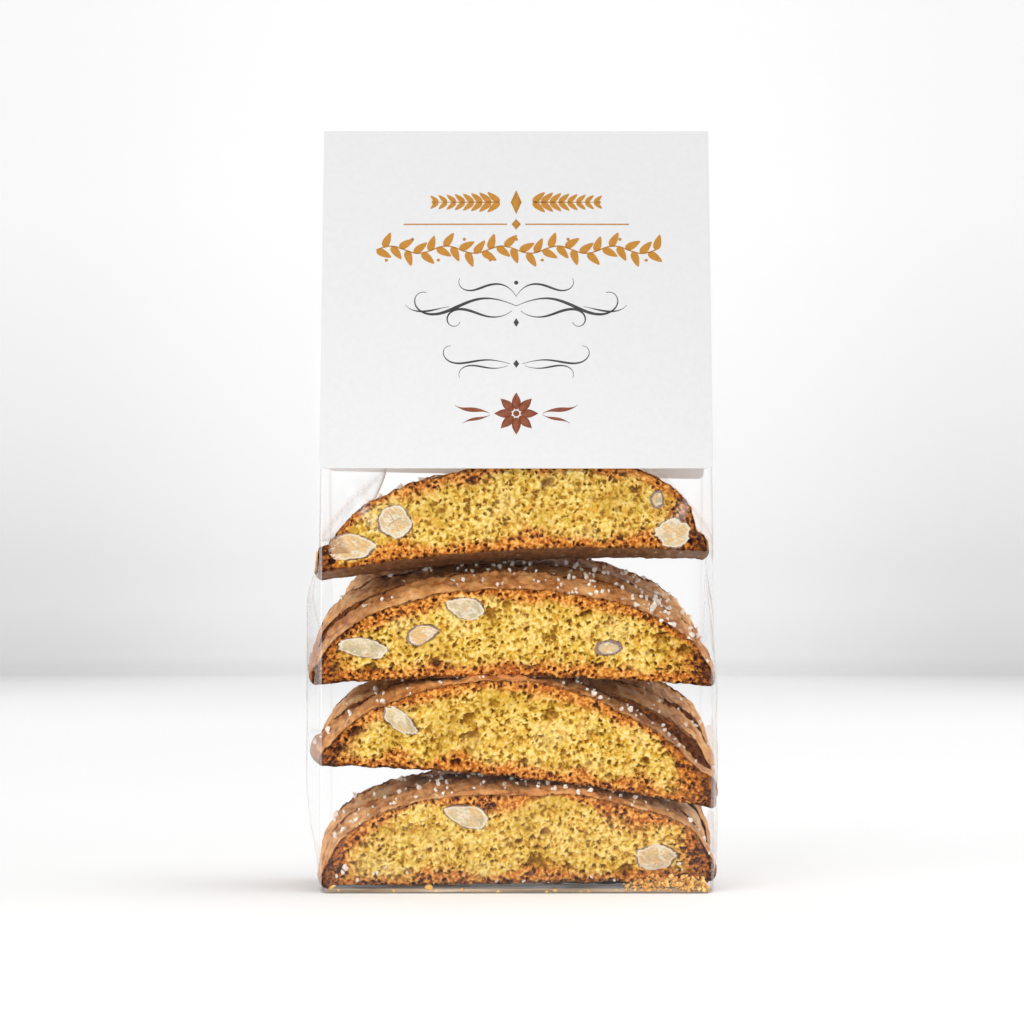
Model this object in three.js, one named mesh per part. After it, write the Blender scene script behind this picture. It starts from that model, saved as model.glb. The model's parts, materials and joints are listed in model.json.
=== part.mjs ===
// A clear block-bottom film bag of biscuits that stands upright, closed under a folded card header.
// Millimetres, +Z up, the front towards -Y, the origin under the middle of the bounding box.
// The bag is one closed solid out to the film: its side panels bulge round the biscuits and fold
// inwards above the shoulder, where the front and back panels lean in towards the header's fold.
import * as THREE from "three";

const bag = {
  halfWidth: 50.5, // middle to the upright edges of the front and back panels
  halfDepth: 29, // half the depth of the block bottom, and of a side panel's width
  shoulder: 90, // height where the front and back panels start to lean in
  lean: 14.8, // degrees between a leaning panel and the upright
  topHalfDepth: 1.2, // half the thickness where the pressed film ends under the header
  cornerRadius: 1.6, // rounding of the four upright edges
  baseRounding: 1.2, // rounding between the flat bottom and the walls
};

// How far each side panel is pushed out at mid-depth, and the heights between which it is.
const bulges = {
  left: { reach: 4.7, rise: 28, fall: 74, end: 92 },
  right: { reach: 2.5, rise: 12, fall: 50, end: 84 },
};

const card = {
  width: 101.5,
  thickness: 0.45,
  gap: 0.3, // clearance between the card and the film
  foldRadius: 1.3, // outside radius of the fold along the top
  frontLength: 92.2, // fold to lower edge down the front panel
  backLengthLeft: 91, // the back panel's lower edge is cut slightly out of square
  backLengthRight: 93.2,
  cornerRadius: 1.2,
};

const arcSteps = 4;
const sideSteps = 12;
const panelSteps = 6;

const lean = THREE.MathUtils.degToRad(bag.lean);
const apex = bag.shoulder + bag.halfDepth / Math.tan(lean); // where the leaning planes would meet
const bagTop = apex - bag.topHalfDepth / Math.tan(lean);
const middle = (bulges.left.reach - bulges.right.reach) / 2; // centres the bounding box on x = 0

const materials = {
  film: new THREE.MeshStandardMaterial({ color: 0xe9eef0, roughness: 0.08, metalness: 0 }),
  card: new THREE.MeshStandardMaterial({ color: 0xecebea, roughness: 0.55, metalness: 0 }),
};

function evenSteps(from, to, count) {
  return Array.from({ length: count + 1 }, (_, step) => from + ((to - from) * step) / count);
}

// Half the distance between the front and back panels at height z.
function halfDepthAt(z) {
  return z < bag.shoulder ? bag.halfDepth : (apex - z) * Math.tan(lean);
}

// A side panel keeps its width, so its middle crease moves in as the front and back panels close.
function tuckAt(z) {
  const halfDepth = halfDepthAt(z);
  return Math.sqrt(Math.max(0, bag.halfDepth ** 2 - halfDepth ** 2));
}

function bulgeAt(z, side) {
  const rising = Math.sin((Math.PI / 2) * Math.min(1, z / side.rise));
  const falling = THREE.MathUtils.smoothstep(side.end - z, 0, side.end - side.fall);
  return side.reach * rising * falling;
}

// The walls curve in to the flat bottom.
function baseInset(z) {
  const below = Math.max(0, bag.baseRounding - z);
  return bag.baseRounding - Math.sqrt(bag.baseRounding ** 2 - below ** 2);
}

// One side panel from front to back, as points on its outside: facing is 1 at the right, -1 at the left.
function sidePanel(z, facing) {
  const side = facing > 0 ? bulges.right : bulges.left;
  const inset = baseInset(z);
  const halfDepth = halfDepthAt(z) - inset;
  const halfWidth = bag.halfWidth - inset;
  const radius = Math.min(bag.cornerRadius, halfDepth / 2);
  const reach = halfDepth - radius;
  const corner = evenSteps(0, Math.PI / 2, arcSteps).map((angle) => ({
    out: halfWidth - radius + radius * Math.sin(angle),
    y: -reach - radius * Math.cos(angle),
  }));
  const wall = evenSteps(-1, 1, sideSteps)
    .slice(1, -1)
    .map((along) => ({
      out: halfWidth + bulgeAt(z, side) * (1 - along ** 2) - tuckAt(z) * (1 - Math.abs(along)),
      y: along * reach,
    }));
  const backCorner = corner.map(({ out, y }) => ({ out, y: -y })).reverse();
  return [...corner, ...wall, ...backCorner].map(
    ({ out, y }) => new THREE.Vector2(middle + facing * out, y),
  );
}

// The bag's outline at height z, anticlockwise as seen from above.
function bagOutline(z) {
  return [...sidePanel(z, 1), ...sidePanel(z, -1).reverse()];
}

// Joins outlines of equal length into one closed solid with flat ends.
function loft(heights, outlineAt) {
  const outlines = heights.map(outlineAt);
  const count = outlines[0].length;
  const positions = outlines.flatMap((outline, level) =>
    outline.flatMap((point) => [point.x, point.y, heights[level]]),
  );
  const indices = [];
  for (let level = 0; level < heights.length - 1; level += 1) {
    for (let corner = 0; corner < count; corner += 1) {
      const next = (corner + 1) % count;
      const low = level * count;
      const high = low + count;
      indices.push(low + corner, low + next, high + next);
      indices.push(low + corner, high + next, high + corner);
    }
  }
  const last = (heights.length - 1) * count;
  for (const [a, b, c] of THREE.ShapeUtils.triangulateShape(outlines[0], [])) {
    indices.push(a, c, b);
  }
  for (const [a, b, c] of THREE.ShapeUtils.triangulateShape(outlines.at(-1), [])) {
    indices.push(last + a, last + b, last + c);
  }
  const geometry = new THREE.BufferGeometry();
  geometry.setAttribute("position", new THREE.Float32BufferAttribute(positions, 3));
  geometry.setIndex(indices);
  geometry.computeVertexNormals();
  return geometry;
}

function bagHeights() {
  return [
    ...evenSteps(0, Math.PI / 2, 3).map((angle) => bag.baseRounding * (1 - Math.cos(angle))),
    ...evenSteps(3, bulges.left.rise, 6),
    ...evenSteps(36, bag.shoulder, 9),
    ...evenSteps(bag.shoulder + 1.5, bag.shoulder + 18, 6),
    ...evenSteps(bag.shoulder + 25, bagTop, 8),
  ];
}

// A point of the card's flat sheet, bent over the fold. Along runs down the front (negative) and the
// back (positive) from the middle of the fold, and depth goes inwards from the outside face.
function bendCard(x, along, depth) {
  const radius = card.foldRadius - depth;
  const arcHalf = card.foldRadius * (Math.PI / 2 - lean);
  const beyond = Math.max(0, Math.abs(along) - arcHalf);
  const turn = (Math.min(Math.abs(along), arcHalf) / arcHalf) * (Math.PI / 2 - lean);
  const facing = Math.sign(along);
  const clearance = card.gap + card.thickness - card.foldRadius;
  const centre = apex + clearance / Math.sin(lean);
  const y = facing * (radius * Math.sin(turn) + beyond * Math.sin(lean));
  const z = centre + radius * Math.cos(turn) - beyond * Math.cos(lean);
  return [middle + x, y, z];
}

// How far the sheet's side edge is set in, this far from its lower edge.
function cornerInset(fromEdge) {
  const within = Math.max(0, card.cornerRadius - fromEdge);
  return card.cornerRadius - Math.sqrt(card.cornerRadius ** 2 - within ** 2);
}

// Rows across the sheet from the front's lower edge over the fold to the back's.
function cardRows() {
  const arcHalf = card.foldRadius * (Math.PI / 2 - lean);
  const corner = evenSteps(0, Math.PI / 2, arcSteps).map(
    (angle) => card.cornerRadius * (1 - Math.cos(angle)),
  );
  const panel = evenSteps(0, 1, panelSteps).slice(1, -1);
  const frontEnd = arcHalf + card.frontLength;
  const front = [
    ...corner.map((fromEdge) => () => fromEdge - frontEnd),
    ...panel.map((part) => () => THREE.MathUtils.lerp(card.cornerRadius - frontEnd, -arcHalf, part)),
  ];
  const fold = evenSteps(-arcHalf, arcHalf, 2 * arcSteps).map((along) => () => along);
  const backEnd = (across) =>
    arcHalf + THREE.MathUtils.lerp(card.backLengthLeft, card.backLengthRight, (across + 1) / 2);
  const back = [
    ...panel.map((part) => (across) =>
      THREE.MathUtils.lerp(arcHalf, backEnd(across) - card.cornerRadius, part),
    ),
    ...corner.reverse().map((fromEdge) => (across) => backEnd(across) - fromEdge),
  ];
  const insets = [
    ...corner.map((fromEdge) => cornerInset(fromEdge)).reverse(),
    ...new Array(panel.length + fold.length + panel.length).fill(0),
    ...corner.map((fromEdge) => cornerInset(fromEdge)),
  ];
  return [...front, ...fold, ...back].map((alongAt, row) => ({ alongAt, inset: insets[row] }));
}

// The folded header card: an outside and an inside face, joined all round the edge.
function headerCard() {
  const rows = cardRows();
  const columns = evenSteps(-1, 1, panelSteps);
  const width = columns.length;
  const faceSize = rows.length * width;
  const positions = [0, card.thickness].flatMap((depth) =>
    rows.flatMap(({ alongAt, inset }) =>
      columns.flatMap((across) =>
        bendCard(across * (card.width / 2 - inset), alongAt(across), depth),
      ),
    ),
  );
  const indices = [];
  for (let row = 0; row < rows.length - 1; row += 1) {
    for (let column = 0; column < width - 1; column += 1) {
      const here = row * width + column;
      const corners = [here, here + 1, here + width + 1, here + width];
      for (const [a, b, c] of [[0, 1, 2], [0, 2, 3]]) {
        indices.push(corners[a], corners[b], corners[c]);
        indices.push(faceSize + corners[a], faceSize + corners[c], faceSize + corners[b]);
      }
    }
  }
  const bottom = columns.map((_, column) => column);
  const right = rows.map((_, row) => row * width + width - 1);
  const top = bottom.map((column) => (rows.length - 1) * width + column).reverse();
  const left = rows.map((_, row) => row * width).reverse();
  for (const edge of [bottom, right, top, left]) {
    for (let step = 0; step < edge.length - 1; step += 1) {
      const [from, to] = [edge[step], edge[step + 1]];
      indices.push(to, from, faceSize + from);
      indices.push(to, faceSize + from, faceSize + to);
    }
  }
  const geometry = new THREE.BufferGeometry();
  geometry.setAttribute("position", new THREE.Float32BufferAttribute(positions, 3));
  geometry.setIndex(indices);
  geometry.computeVertexNormals();
  return geometry;
}

function subPart(name, geometry, material) {
  const mesh = new THREE.Mesh(geometry, material);
  mesh.name = name;
  return mesh;
}

const group = new THREE.Group();
group.add(subPart("biscuit_bag", loft(bagHeights(), bagOutline), materials.film));
group.add(subPart("header_card", headerCard(), materials.card));

export default group;
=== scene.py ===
import bpy
import bmesh
import json
import math
import numpy as np
from mathutils import Matrix, Vector

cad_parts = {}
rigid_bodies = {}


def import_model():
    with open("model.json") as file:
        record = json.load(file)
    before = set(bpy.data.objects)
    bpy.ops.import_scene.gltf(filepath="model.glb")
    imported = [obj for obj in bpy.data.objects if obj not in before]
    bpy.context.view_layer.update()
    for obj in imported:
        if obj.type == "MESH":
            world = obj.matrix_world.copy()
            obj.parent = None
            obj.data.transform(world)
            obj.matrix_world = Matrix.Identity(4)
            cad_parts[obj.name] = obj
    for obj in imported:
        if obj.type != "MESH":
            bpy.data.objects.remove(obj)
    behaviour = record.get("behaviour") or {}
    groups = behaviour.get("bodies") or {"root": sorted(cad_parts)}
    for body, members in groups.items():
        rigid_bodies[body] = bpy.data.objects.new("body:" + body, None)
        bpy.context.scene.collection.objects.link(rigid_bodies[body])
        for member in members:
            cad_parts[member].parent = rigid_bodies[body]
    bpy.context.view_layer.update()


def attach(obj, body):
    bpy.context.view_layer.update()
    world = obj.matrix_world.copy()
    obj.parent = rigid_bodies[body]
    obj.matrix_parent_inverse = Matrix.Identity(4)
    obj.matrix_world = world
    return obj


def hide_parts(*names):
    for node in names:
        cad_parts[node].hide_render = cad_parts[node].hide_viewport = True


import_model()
mm = 0.001
print("frame loaded")

studio = {
    "cameraDistance": 979,  # mm in front of the bag's middle
    "cameraHeight": 72.4,
    "cameraTilt": 1.5117,  # degrees above the level
    "lens": 130.57,
    "wallDistance": 3150,
    "worldStrength": 0.37,
    "softboxes": {
        # place, size, power
        "leftSoftbox": ((-1.25, -1.15, 0.75), (1.1, 1.1), 4.6),
        "rightSoftbox": ((1.25, -1.15, 0.85), (1.1, 1.1), 2.3),
        "frontSoftbox": ((0, -1.5, 1.25), (1.4, 0.9), 3.2),
        "nearSoftbox": ((-0.45, -0.75, 0.30), (0.4, 0.4), 1.55),
        "topSoftbox": ((0.55, 0.0, 1.5), (1.4, 1.2), 9.6),
    },
    "softboxAim": (0, 0, 0.09),
    "lowLamp": {  # a small lamp aimed at the bottom layer
        "place": (-0.4, -1.35, 0.32),
        "aim": (-0.004, -0.02, 0.004),
        "spread": 8,
        "radius": 0.12,
        "power": 37.0,
    },
}

camera = bpy.data.objects.new("camera", bpy.data.cameras.new("camera"))
camera.data.lens = studio["lens"]
camera.data.clip_start = 0.05
camera.data.clip_end = 30
camera.location = (0, -studio["cameraDistance"] * mm, studio["cameraHeight"] * mm)
camera.rotation_euler = (math.radians(90 + studio["cameraTilt"]), 0, 0)
bpy.context.scene.collection.objects.link(camera)
bpy.context.scene.camera = camera
bpy.context.scene.view_settings.view_transform = "Standard"
bpy.context.scene.cycles.transparent_max_bounces = 32


def feed(tree, socket, value):
    if isinstance(value, bpy.types.NodeSocket):
        tree.links.new(value, socket)
    elif value is not None:
        isColour = socket.type == "RGBA" and len(value) == 3
        socket.default_value = (*value, 1) if isColour else value


def addNode(tree, kind, inputs=None, **settings):
    made = tree.nodes.new(kind)
    for key, value in settings.items():
        setattr(made, key, value)
    for key, value in (inputs or {}).items():
        feed(tree, made.inputs[key], value)
    return made


def maths(tree, operation, *values, clamp=False):
    made = addNode(tree, "ShaderNodeMath", operation=operation, use_clamp=clamp)
    for socket, value in zip(made.inputs, values):
        feed(tree, socket, value)
    return made.outputs[0]


def multiply(tree, *values):
    total = values[0]
    for value in values[1:]:
        total = maths(tree, "MULTIPLY", total, value)
    return total


def add(tree, *values):
    total = values[0]
    for value in values[1:]:
        total = maths(tree, "ADD", total, value)
    return total


def subtract(tree, first, second):
    return maths(tree, "SUBTRACT", first, second)


def vectorMaths(tree, operation, *values, scale=None):
    made = addNode(tree, "ShaderNodeVectorMath", operation=operation)
    for socket, value in zip(made.inputs, values):
        feed(tree, socket, value)
    if scale is not None:
        feed(tree, made.inputs["Scale"], scale)
    return made.outputs["Value" if operation in ("LENGTH", "DISTANCE") else "Vector"]


def split(tree, vector):
    return addNode(tree, "ShaderNodeSeparateXYZ", {"Vector": vector}).outputs


def combine(tree, **parts):
    return addNode(tree, "ShaderNodeCombineXYZ", parts).outputs[0]


def pointPlace(tree):
    return addNode(tree, "GeometryNodeInputPosition").outputs[0]


def pointValue(tree, name):
    made = addNode(tree, "GeometryNodeInputNamedAttribute", {"Name": name}, data_type="FLOAT")
    return made.outputs["Attribute"]


def smooth(tree, value, low, high):
    made = addNode(tree, "ShaderNodeMapRange", interpolation_type="SMOOTHSTEP")
    feed(tree, made.inputs["Value"], value)
    feed(tree, made.inputs["From Min"], low)
    feed(tree, made.inputs["From Max"], high)
    return made.outputs["Result"]


def cloud(tree, place, scale, detail=2.0, rough=0.5, colour=False):
    values = {"Vector": place, "Scale": scale, "Detail": detail, "Roughness": rough}
    made = addNode(tree, "ShaderNodeTexNoise", values)
    return made.outputs["Color" if colour else "Fac"]


def blend(tree, share, first, second):
    # the colour sockets of a mix node are its seventh and eighth
    return addNode(tree, "ShaderNodeMix", {0: share, 6: first, 7: second}, data_type="RGBA").outputs[2]


def ramp(tree, value, *stops):
    # the lowest and the highest stop come first, then those between
    made = addNode(tree, "ShaderNodeValToRGB")
    feed(tree, made.inputs[0], value)
    band = made.color_ramp
    for number, (place, colour) in enumerate(stops):
        stop = band.elements[number] if number < 2 else band.elements.new(place)
        stop.position = place
        stop.color = (*colour, 1)
    return made.outputs[0]


def newTree(name, kind, inputs, outputs):
    tree = bpy.data.node_groups.new(name, kind)
    for direction, sockets in (("INPUT", inputs), ("OUTPUT", outputs)):
        for label, (socketType, value) in sockets.items():
            made = tree.interface.new_socket(
                label, in_out=direction, socket_type="NodeSocket" + socketType
            )
            if value is not None:
                made.default_value = value
    return tree, addNode(tree, "NodeGroupInput").outputs, addNode(tree, "NodeGroupOutput").inputs


def finishTree(tree, result, geometry, material):
    # the instances become plain mesh with the material on it
    solid = addNode(tree, "GeometryNodeRealizeInstances", {"Geometry": geometry}).outputs[0]
    values = {"Geometry": solid, "Material": material}
    feed(tree, result["Geometry"], addNode(tree, "GeometryNodeSetMaterial", values).outputs[0])


def bakeTree(thing, tree, values):
    # runs a geometry tree on a piece and keeps the result as its plain mesh
    step = thing.modifiers.new(tree.name, "NODES")
    step.node_group = tree
    for item in tree.interface.items_tree:
        if item.item_type == "SOCKET" and item.in_out == "INPUT" and item.name in values:
            step[item.identifier] = values[item.name]
    depsgraph = bpy.context.evaluated_depsgraph_get()
    solid = bpy.data.meshes.new_from_object(
        thing.evaluated_get(depsgraph), preserve_all_data_layers=True, depsgraph=depsgraph
    )
    thing.modifiers.remove(step)
    old = thing.data
    thing.data = solid
    bpy.data.meshes.remove(old)


def showData(name, data):
    shown = bpy.data.objects.new(name, data)
    bpy.context.scene.collection.objects.link(shown)
    return shown


def newPiece(name, points, faces, material=None):
    mesh = bpy.data.meshes.new(name)
    mesh.from_pydata([tuple(point) for point in points], [], faces)
    mesh.update()
    mesh.shade_smooth()
    if material:
        mesh.materials.append(material)
    return showData(name, mesh)


def gridFaces(rows, width):
    # quads over a grid whose points run along x first
    faces = []
    for row in range(rows - 1):
        for column in range(width - 1):
            here = row * width + column
            faces.append((here, here + 1, here + width + 1, here + width))
    return faces


def addWall(piece, name, thickness):
    wall = piece.modifiers.new(name, "SOLIDIFY")
    wall.thickness = thickness * mm
    wall.offset = -1


def pointsOf(mesh, what="co"):
    # the place or the normal of every point
    values = np.zeros(len(mesh.vertices) * 3, np.float32)
    mesh.vertices.foreach_get(what, values)
    return values.reshape(-1, 3)


def readAttribute(mesh, name):
    values = np.zeros(len(mesh.vertices), np.float32)
    mesh.attributes[name].data.foreach_get("value", values)
    return values


def setAttribute(mesh, name, values):
    made = mesh.attributes.new(name, "FLOAT", "POINT")
    made.data.foreach_set("value", np.ascontiguousarray(values, np.float32).ravel())


def newMaterial(name):
    material = bpy.data.materials.new(name)
    material.use_nodes = True
    tree = material.node_tree
    shader = tree.nodes["Principled BSDF"]
    return material, tree, shader


def attribute(tree, name):
    return addNode(tree, "ShaderNodeAttribute", attribute_name=name).outputs["Fac"]


def objectPlace(tree):
    return addNode(tree, "ShaderNodeTexCoord").outputs["Object"]


def stretch(tree, place, scale):
    return addNode(tree, "ShaderNodeMapping", {"Vector": place, "Scale": scale}).outputs[0]


crumbColours = {
    "pale": (1.0, 0.80, 0.31),
    "yellow": (0.93, 0.635, 0.11),
    "ochre": (0.66, 0.385, 0.030),
    "pit": (0.34, 0.155, 0.010),
    "orange": (0.86, 0.36, 0.03),
    "fleck": (0.30, 0.09, 0.03),
    "toastPale": (0.97, 0.51, 0.11),
    "toast": (0.68, 0.20, 0.012),
    "toastPit": (0.10, 0.023, 0.005),
    "skin": (0.22, 0.060, 0.012),
}


def fleckGroup():
    # scattered specks: a share of the cells holds one, as wide as Size of the spacing
    tree, given, result = newTree(
        "scatteredFlecks",
        "ShaderNodeTree",
        {
            "Vector": ("Vector", None),
            "Scale": ("Float", 400.0),
            "Share": ("Float", 0.2),
            "Size": ("Float", 0.3),
        },
        {"Mask": ("Float", None)},
    )
    cells = addNode(tree, "ShaderNodeTexVoronoi", {"Vector": given["Vector"], "Scale": given["Scale"]})
    dice = split(tree, cells.outputs["Color"])["X"]
    inside = subtract(tree, 1.0, smooth(tree, cells.outputs["Distance"], 0.12, given["Size"]))
    feed(tree, result["Mask"], multiply(tree, inside, maths(tree, "LESS_THAN", dice, given["Share"])))
    return tree


fleckEffect = fleckGroup()


def useGroup(tree, group, **inputs):
    made = addNode(tree, "ShaderNodeGroup", node_tree=group)
    for label, value in inputs.items():
        feed(tree, made.inputs[label], value)
    return made.outputs


def crumbGroup():
    # baked crumb: yellow in the middle, toasted where Toast is 1, darker where Pit is 1 (on the slices
    # Pit is painted shade)
    tree, given, result = newTree(
        "bakedCrumb",
        "ShaderNodeTree",
        {"Vector": ("Vector", None), "Toast": ("Float", 0.0), "Pit": ("Float", 0.0)},
        {"Color": ("Color", None), "Roughness": ("Float", None), "Height": ("Float", None)},
    )
    place = given["Vector"]
    fine = subtract(tree, cloud(tree, place, 950, 2.0, 0.6), 0.5)
    patch = subtract(tree, cloud(tree, place, 150, 2.0, 0.5), 0.5)
    depth = add(tree, given["Pit"], multiply(tree, fine, 0.6))
    soft = ramp(
        tree,
        depth,
        (0.04, crumbColours["pale"]),
        (0.96, crumbColours["pit"]),
        (0.26, crumbColours["yellow"]),
        (0.56, crumbColours["ochre"]),
    )
    warm = smooth(tree, cloud(tree, place, 420, 2.0, 0.5), 0.54, 0.74)
    soft = blend(tree, multiply(tree, warm, 0.55), soft, crumbColours["orange"])
    broad = cloud(tree, place, 85, 2.0, 0.5)
    ochre = multiply(tree, smooth(tree, broad, 0.50, 0.68), 0.5)
    soft = blend(tree, ochre, soft, crumbColours["ochre"])
    pale = multiply(tree, smooth(tree, broad, 0.48, 0.32), 0.35)
    soft = blend(tree, pale, soft, crumbColours["pale"])
    specks = useGroup(tree, fleckEffect, Vector=place, Scale=520.0, Share=0.05, Size=0.5)["Mask"]
    soft = blend(tree, multiply(tree, specks, 0.7), soft, crumbColours["fleck"])
    toasted = ramp(
        tree,
        depth,
        (0.02, crumbColours["toastPale"]),
        (0.84, crumbColours["toastPit"]),
        (0.32, crumbColours["toast"]),
    )
    uneven = add(tree, multiply(tree, patch, 1.0), multiply(tree, fine, 0.6))
    toast = smooth(tree, add(tree, given["Toast"], uneven), 0.06, 0.66)
    baked = blend(tree, toast, soft, toasted)
    skin = smooth(tree, add(tree, given["Toast"], multiply(tree, fine, 0.5)), 0.88, 1.02)
    feed(tree, result["Color"], blend(tree, multiply(tree, skin, 0.7), baked, crumbColours["skin"]))
    feed(tree, result["Roughness"], subtract(tree, 0.88, multiply(tree, toast, 0.15)))
    feed(tree, result["Height"], cloud(tree, place, 1500, 3.0, 0.6))
    return tree


def grainGroup():
    # mottles a colour by a few per cent, for card, kernels and sugar
    tree, given, result = newTree(
        "fineGrain",
        "ShaderNodeTree",
        {
            "Vector": ("Vector", None),
            "Color": ("Color", None),
            "Dark": ("Color", None),
            "Scale": ("Float", 500.0),
        },
        {"Color": ("Color", None), "Height": ("Float", None)},
    )
    grain = cloud(tree, given["Vector"], given["Scale"], 4.0, 0.65)
    mottle = smooth(tree, grain, 0.35, 0.7)
    feed(tree, result["Color"], blend(tree, mottle, given["Color"], given["Dark"]))
    feed(tree, result["Height"], grain)
    return tree


crumbEffect = crumbGroup()
grainEffect = grainGroup()

plainColours = {
    # the colour, and the tone of its grain
    "sugar": ((0.90, 0.86, 0.79), (0.72, 0.66, 0.56)),
    "card": ((0.73, 0.73, 0.735), (0.71, 0.71, 0.71)),
    "goldInk": ((0.58, 0.25, 0.018), (0.50, 0.21, 0.016)),
    "charcoalInk": ((0.035, 0.035, 0.037), (0.06, 0.06, 0.06)),
    "brownInk": ((0.30, 0.075, 0.022), (0.20, 0.045, 0.014)),
}


def grainedMaterial(name, finish, scale, smoothest, change):
    # a plain colour under a fine grain, which also makes it rougher
    material, tree, shader = newMaterial(name)
    colour, dark = plainColours[finish]
    place = objectPlace(tree)
    grain = useGroup(tree, grainEffect, Vector=place, Color=colour, Dark=dark, Scale=scale)
    feed(tree, shader.inputs["Base Color"], grain["Color"])
    rough = add(tree, smoothest, multiply(tree, grain["Height"], change))
    feed(tree, shader.inputs["Roughness"], rough)
    return material, tree, shader, grain


def addBump(tree, shader, height, distance, strength=1.0):
    values = {"Height": height, "Distance": distance, "Strength": strength}
    bump = addNode(tree, "ShaderNodeBump", values)
    feed(tree, shader.inputs["Normal"], bump.outputs["Normal"])


crustColours = {
    "pale": (1.0, 0.64, 0.30),
    "tan": (0.98, 0.47, 0.155),
    "brown": (0.50, 0.165, 0.035),
    "speck": (0.26, 0.075, 0.018),
    "edge": (0.36, 0.105, 0.018),
    "under": (0.12, 0.050, 0.018),
    "underPale": (0.34, 0.17, 0.07),
    "underFleck": (0.72, 0.56, 0.38),
}


def biscuitMaterial():
    material, tree, shader = newMaterial("biscuit")
    place = objectPlace(tree)
    toast = attribute(tree, "toast")
    outwards = maths(tree, "ABSOLUTE", split(tree, place)["X"])
    ends = multiply(tree, smooth(tree, outwards, 0.034, 0.053), smooth(tree, toast, 0.1, 0.7))
    # the ends are toasted darkest; the pit attribute adds painted shade in pores and hollows
    pit = maths(tree, "MULTIPLY_ADD", ends, 0.34, attribute(tree, "pit"))
    crumb = useGroup(tree, crumbEffect, Vector=place, Toast=toast, Pit=pit)
    crust = attribute(tree, "crust")
    under = attribute(tree, "under")
    fold = attribute(tree, "fold")
    # the crust lies almost edge-on to the front, so its pattern is drawn out from front to back
    drawn = stretch(tree, place, (1.0, 0.4, 1.0))
    grain = cloud(tree, drawn, 480, 3.0, 0.6)
    patch = cloud(tree, drawn, 130, 3.0, 0.55)
    shade = add(tree, multiply(tree, grain, 0.4), multiply(tree, patch, 0.6))
    shade = maths(tree, "MULTIPLY_ADD", shade, 1.7, -0.34)
    # darker along the crust's folds: partly their own colour, partly painted shade in the grooves
    shade = add(tree, shade, multiply(tree, fold, 0.30))
    # darker crust per slice: partly darker baking, partly painted shade
    shade = add(tree, shade, attribute(tree, "bake"))
    shade = add(tree, shade, multiply(tree, smooth(tree, outwards, 0.047, 0.055), 0.18))
    skin = ramp(
        tree,
        shade,
        (0.36, crustColours["pale"]),
        (0.92, crustColours["brown"]),
        (0.54, crustColours["tan"]),
    )
    blisters = useGroup(tree, fleckEffect, Vector=drawn, Scale=560.0, Share=0.30, Size=0.55)["Mask"]
    skin = blend(tree, multiply(tree, blisters, 0.5), skin, crustColours["pale"])
    specks = useGroup(tree, fleckEffect, Vector=drawn, Scale=330.0, Share=0.18, Size=0.36)["Mask"]
    skin = blend(tree, multiply(tree, specks, 0.6), skin, crustColours["speck"])
    burnt = subtract(tree, attribute(tree, "rimCrust"), multiply(tree, grain, 1.1))
    burnt = smooth(tree, burnt, -0.05, 0.35)
    skin = blend(tree, multiply(tree, burnt, 0.75), skin, crustColours["edge"])
    mottle = cloud(tree, drawn, 600, 4.0, 0.7)
    sole = ramp(tree, mottle, (0.36, crustColours["under"]), (0.66, crustColours["underPale"]))
    flour = useGroup(tree, fleckEffect, Vector=drawn, Scale=620.0, Share=0.16, Size=0.40)["Mask"]
    sole = blend(tree, multiply(tree, flour, 0.7), sole, crustColours["underFleck"])
    outside = blend(tree, under, skin, sole)
    feed(tree, shader.inputs["Base Color"], blend(tree, crust, crumb["Color"], outside))
    rough = subtract(tree, crumb["Roughness"], multiply(tree, crust, 0.26))
    feed(tree, shader.inputs["Roughness"], rough)
    shader.inputs["Specular IOR Level"].default_value = 0.3
    rough = multiply(tree, add(tree, grain, cloud(tree, place, 1300, 3.0, 0.7)), crust)
    addBump(tree, shader, add(tree, crumb["Height"], multiply(tree, rough, 1.4)), 0.00022, 0.9)
    return material


almondColours = {
    "cream": (0.78, 0.62, 0.37),
    "warm": (0.86, 0.54, 0.22),
    "ivory": (0.53, 0.47, 0.30),
    "rim": (0.85, 0.76, 0.58),
    "vein": (0.50, 0.33, 0.16),
    "skinDark": (0.09, 0.035, 0.03),
    "skinPale": (0.55, 0.40, 0.34),
    "torn": (0.50, 0.28, 0.14),
}


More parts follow.
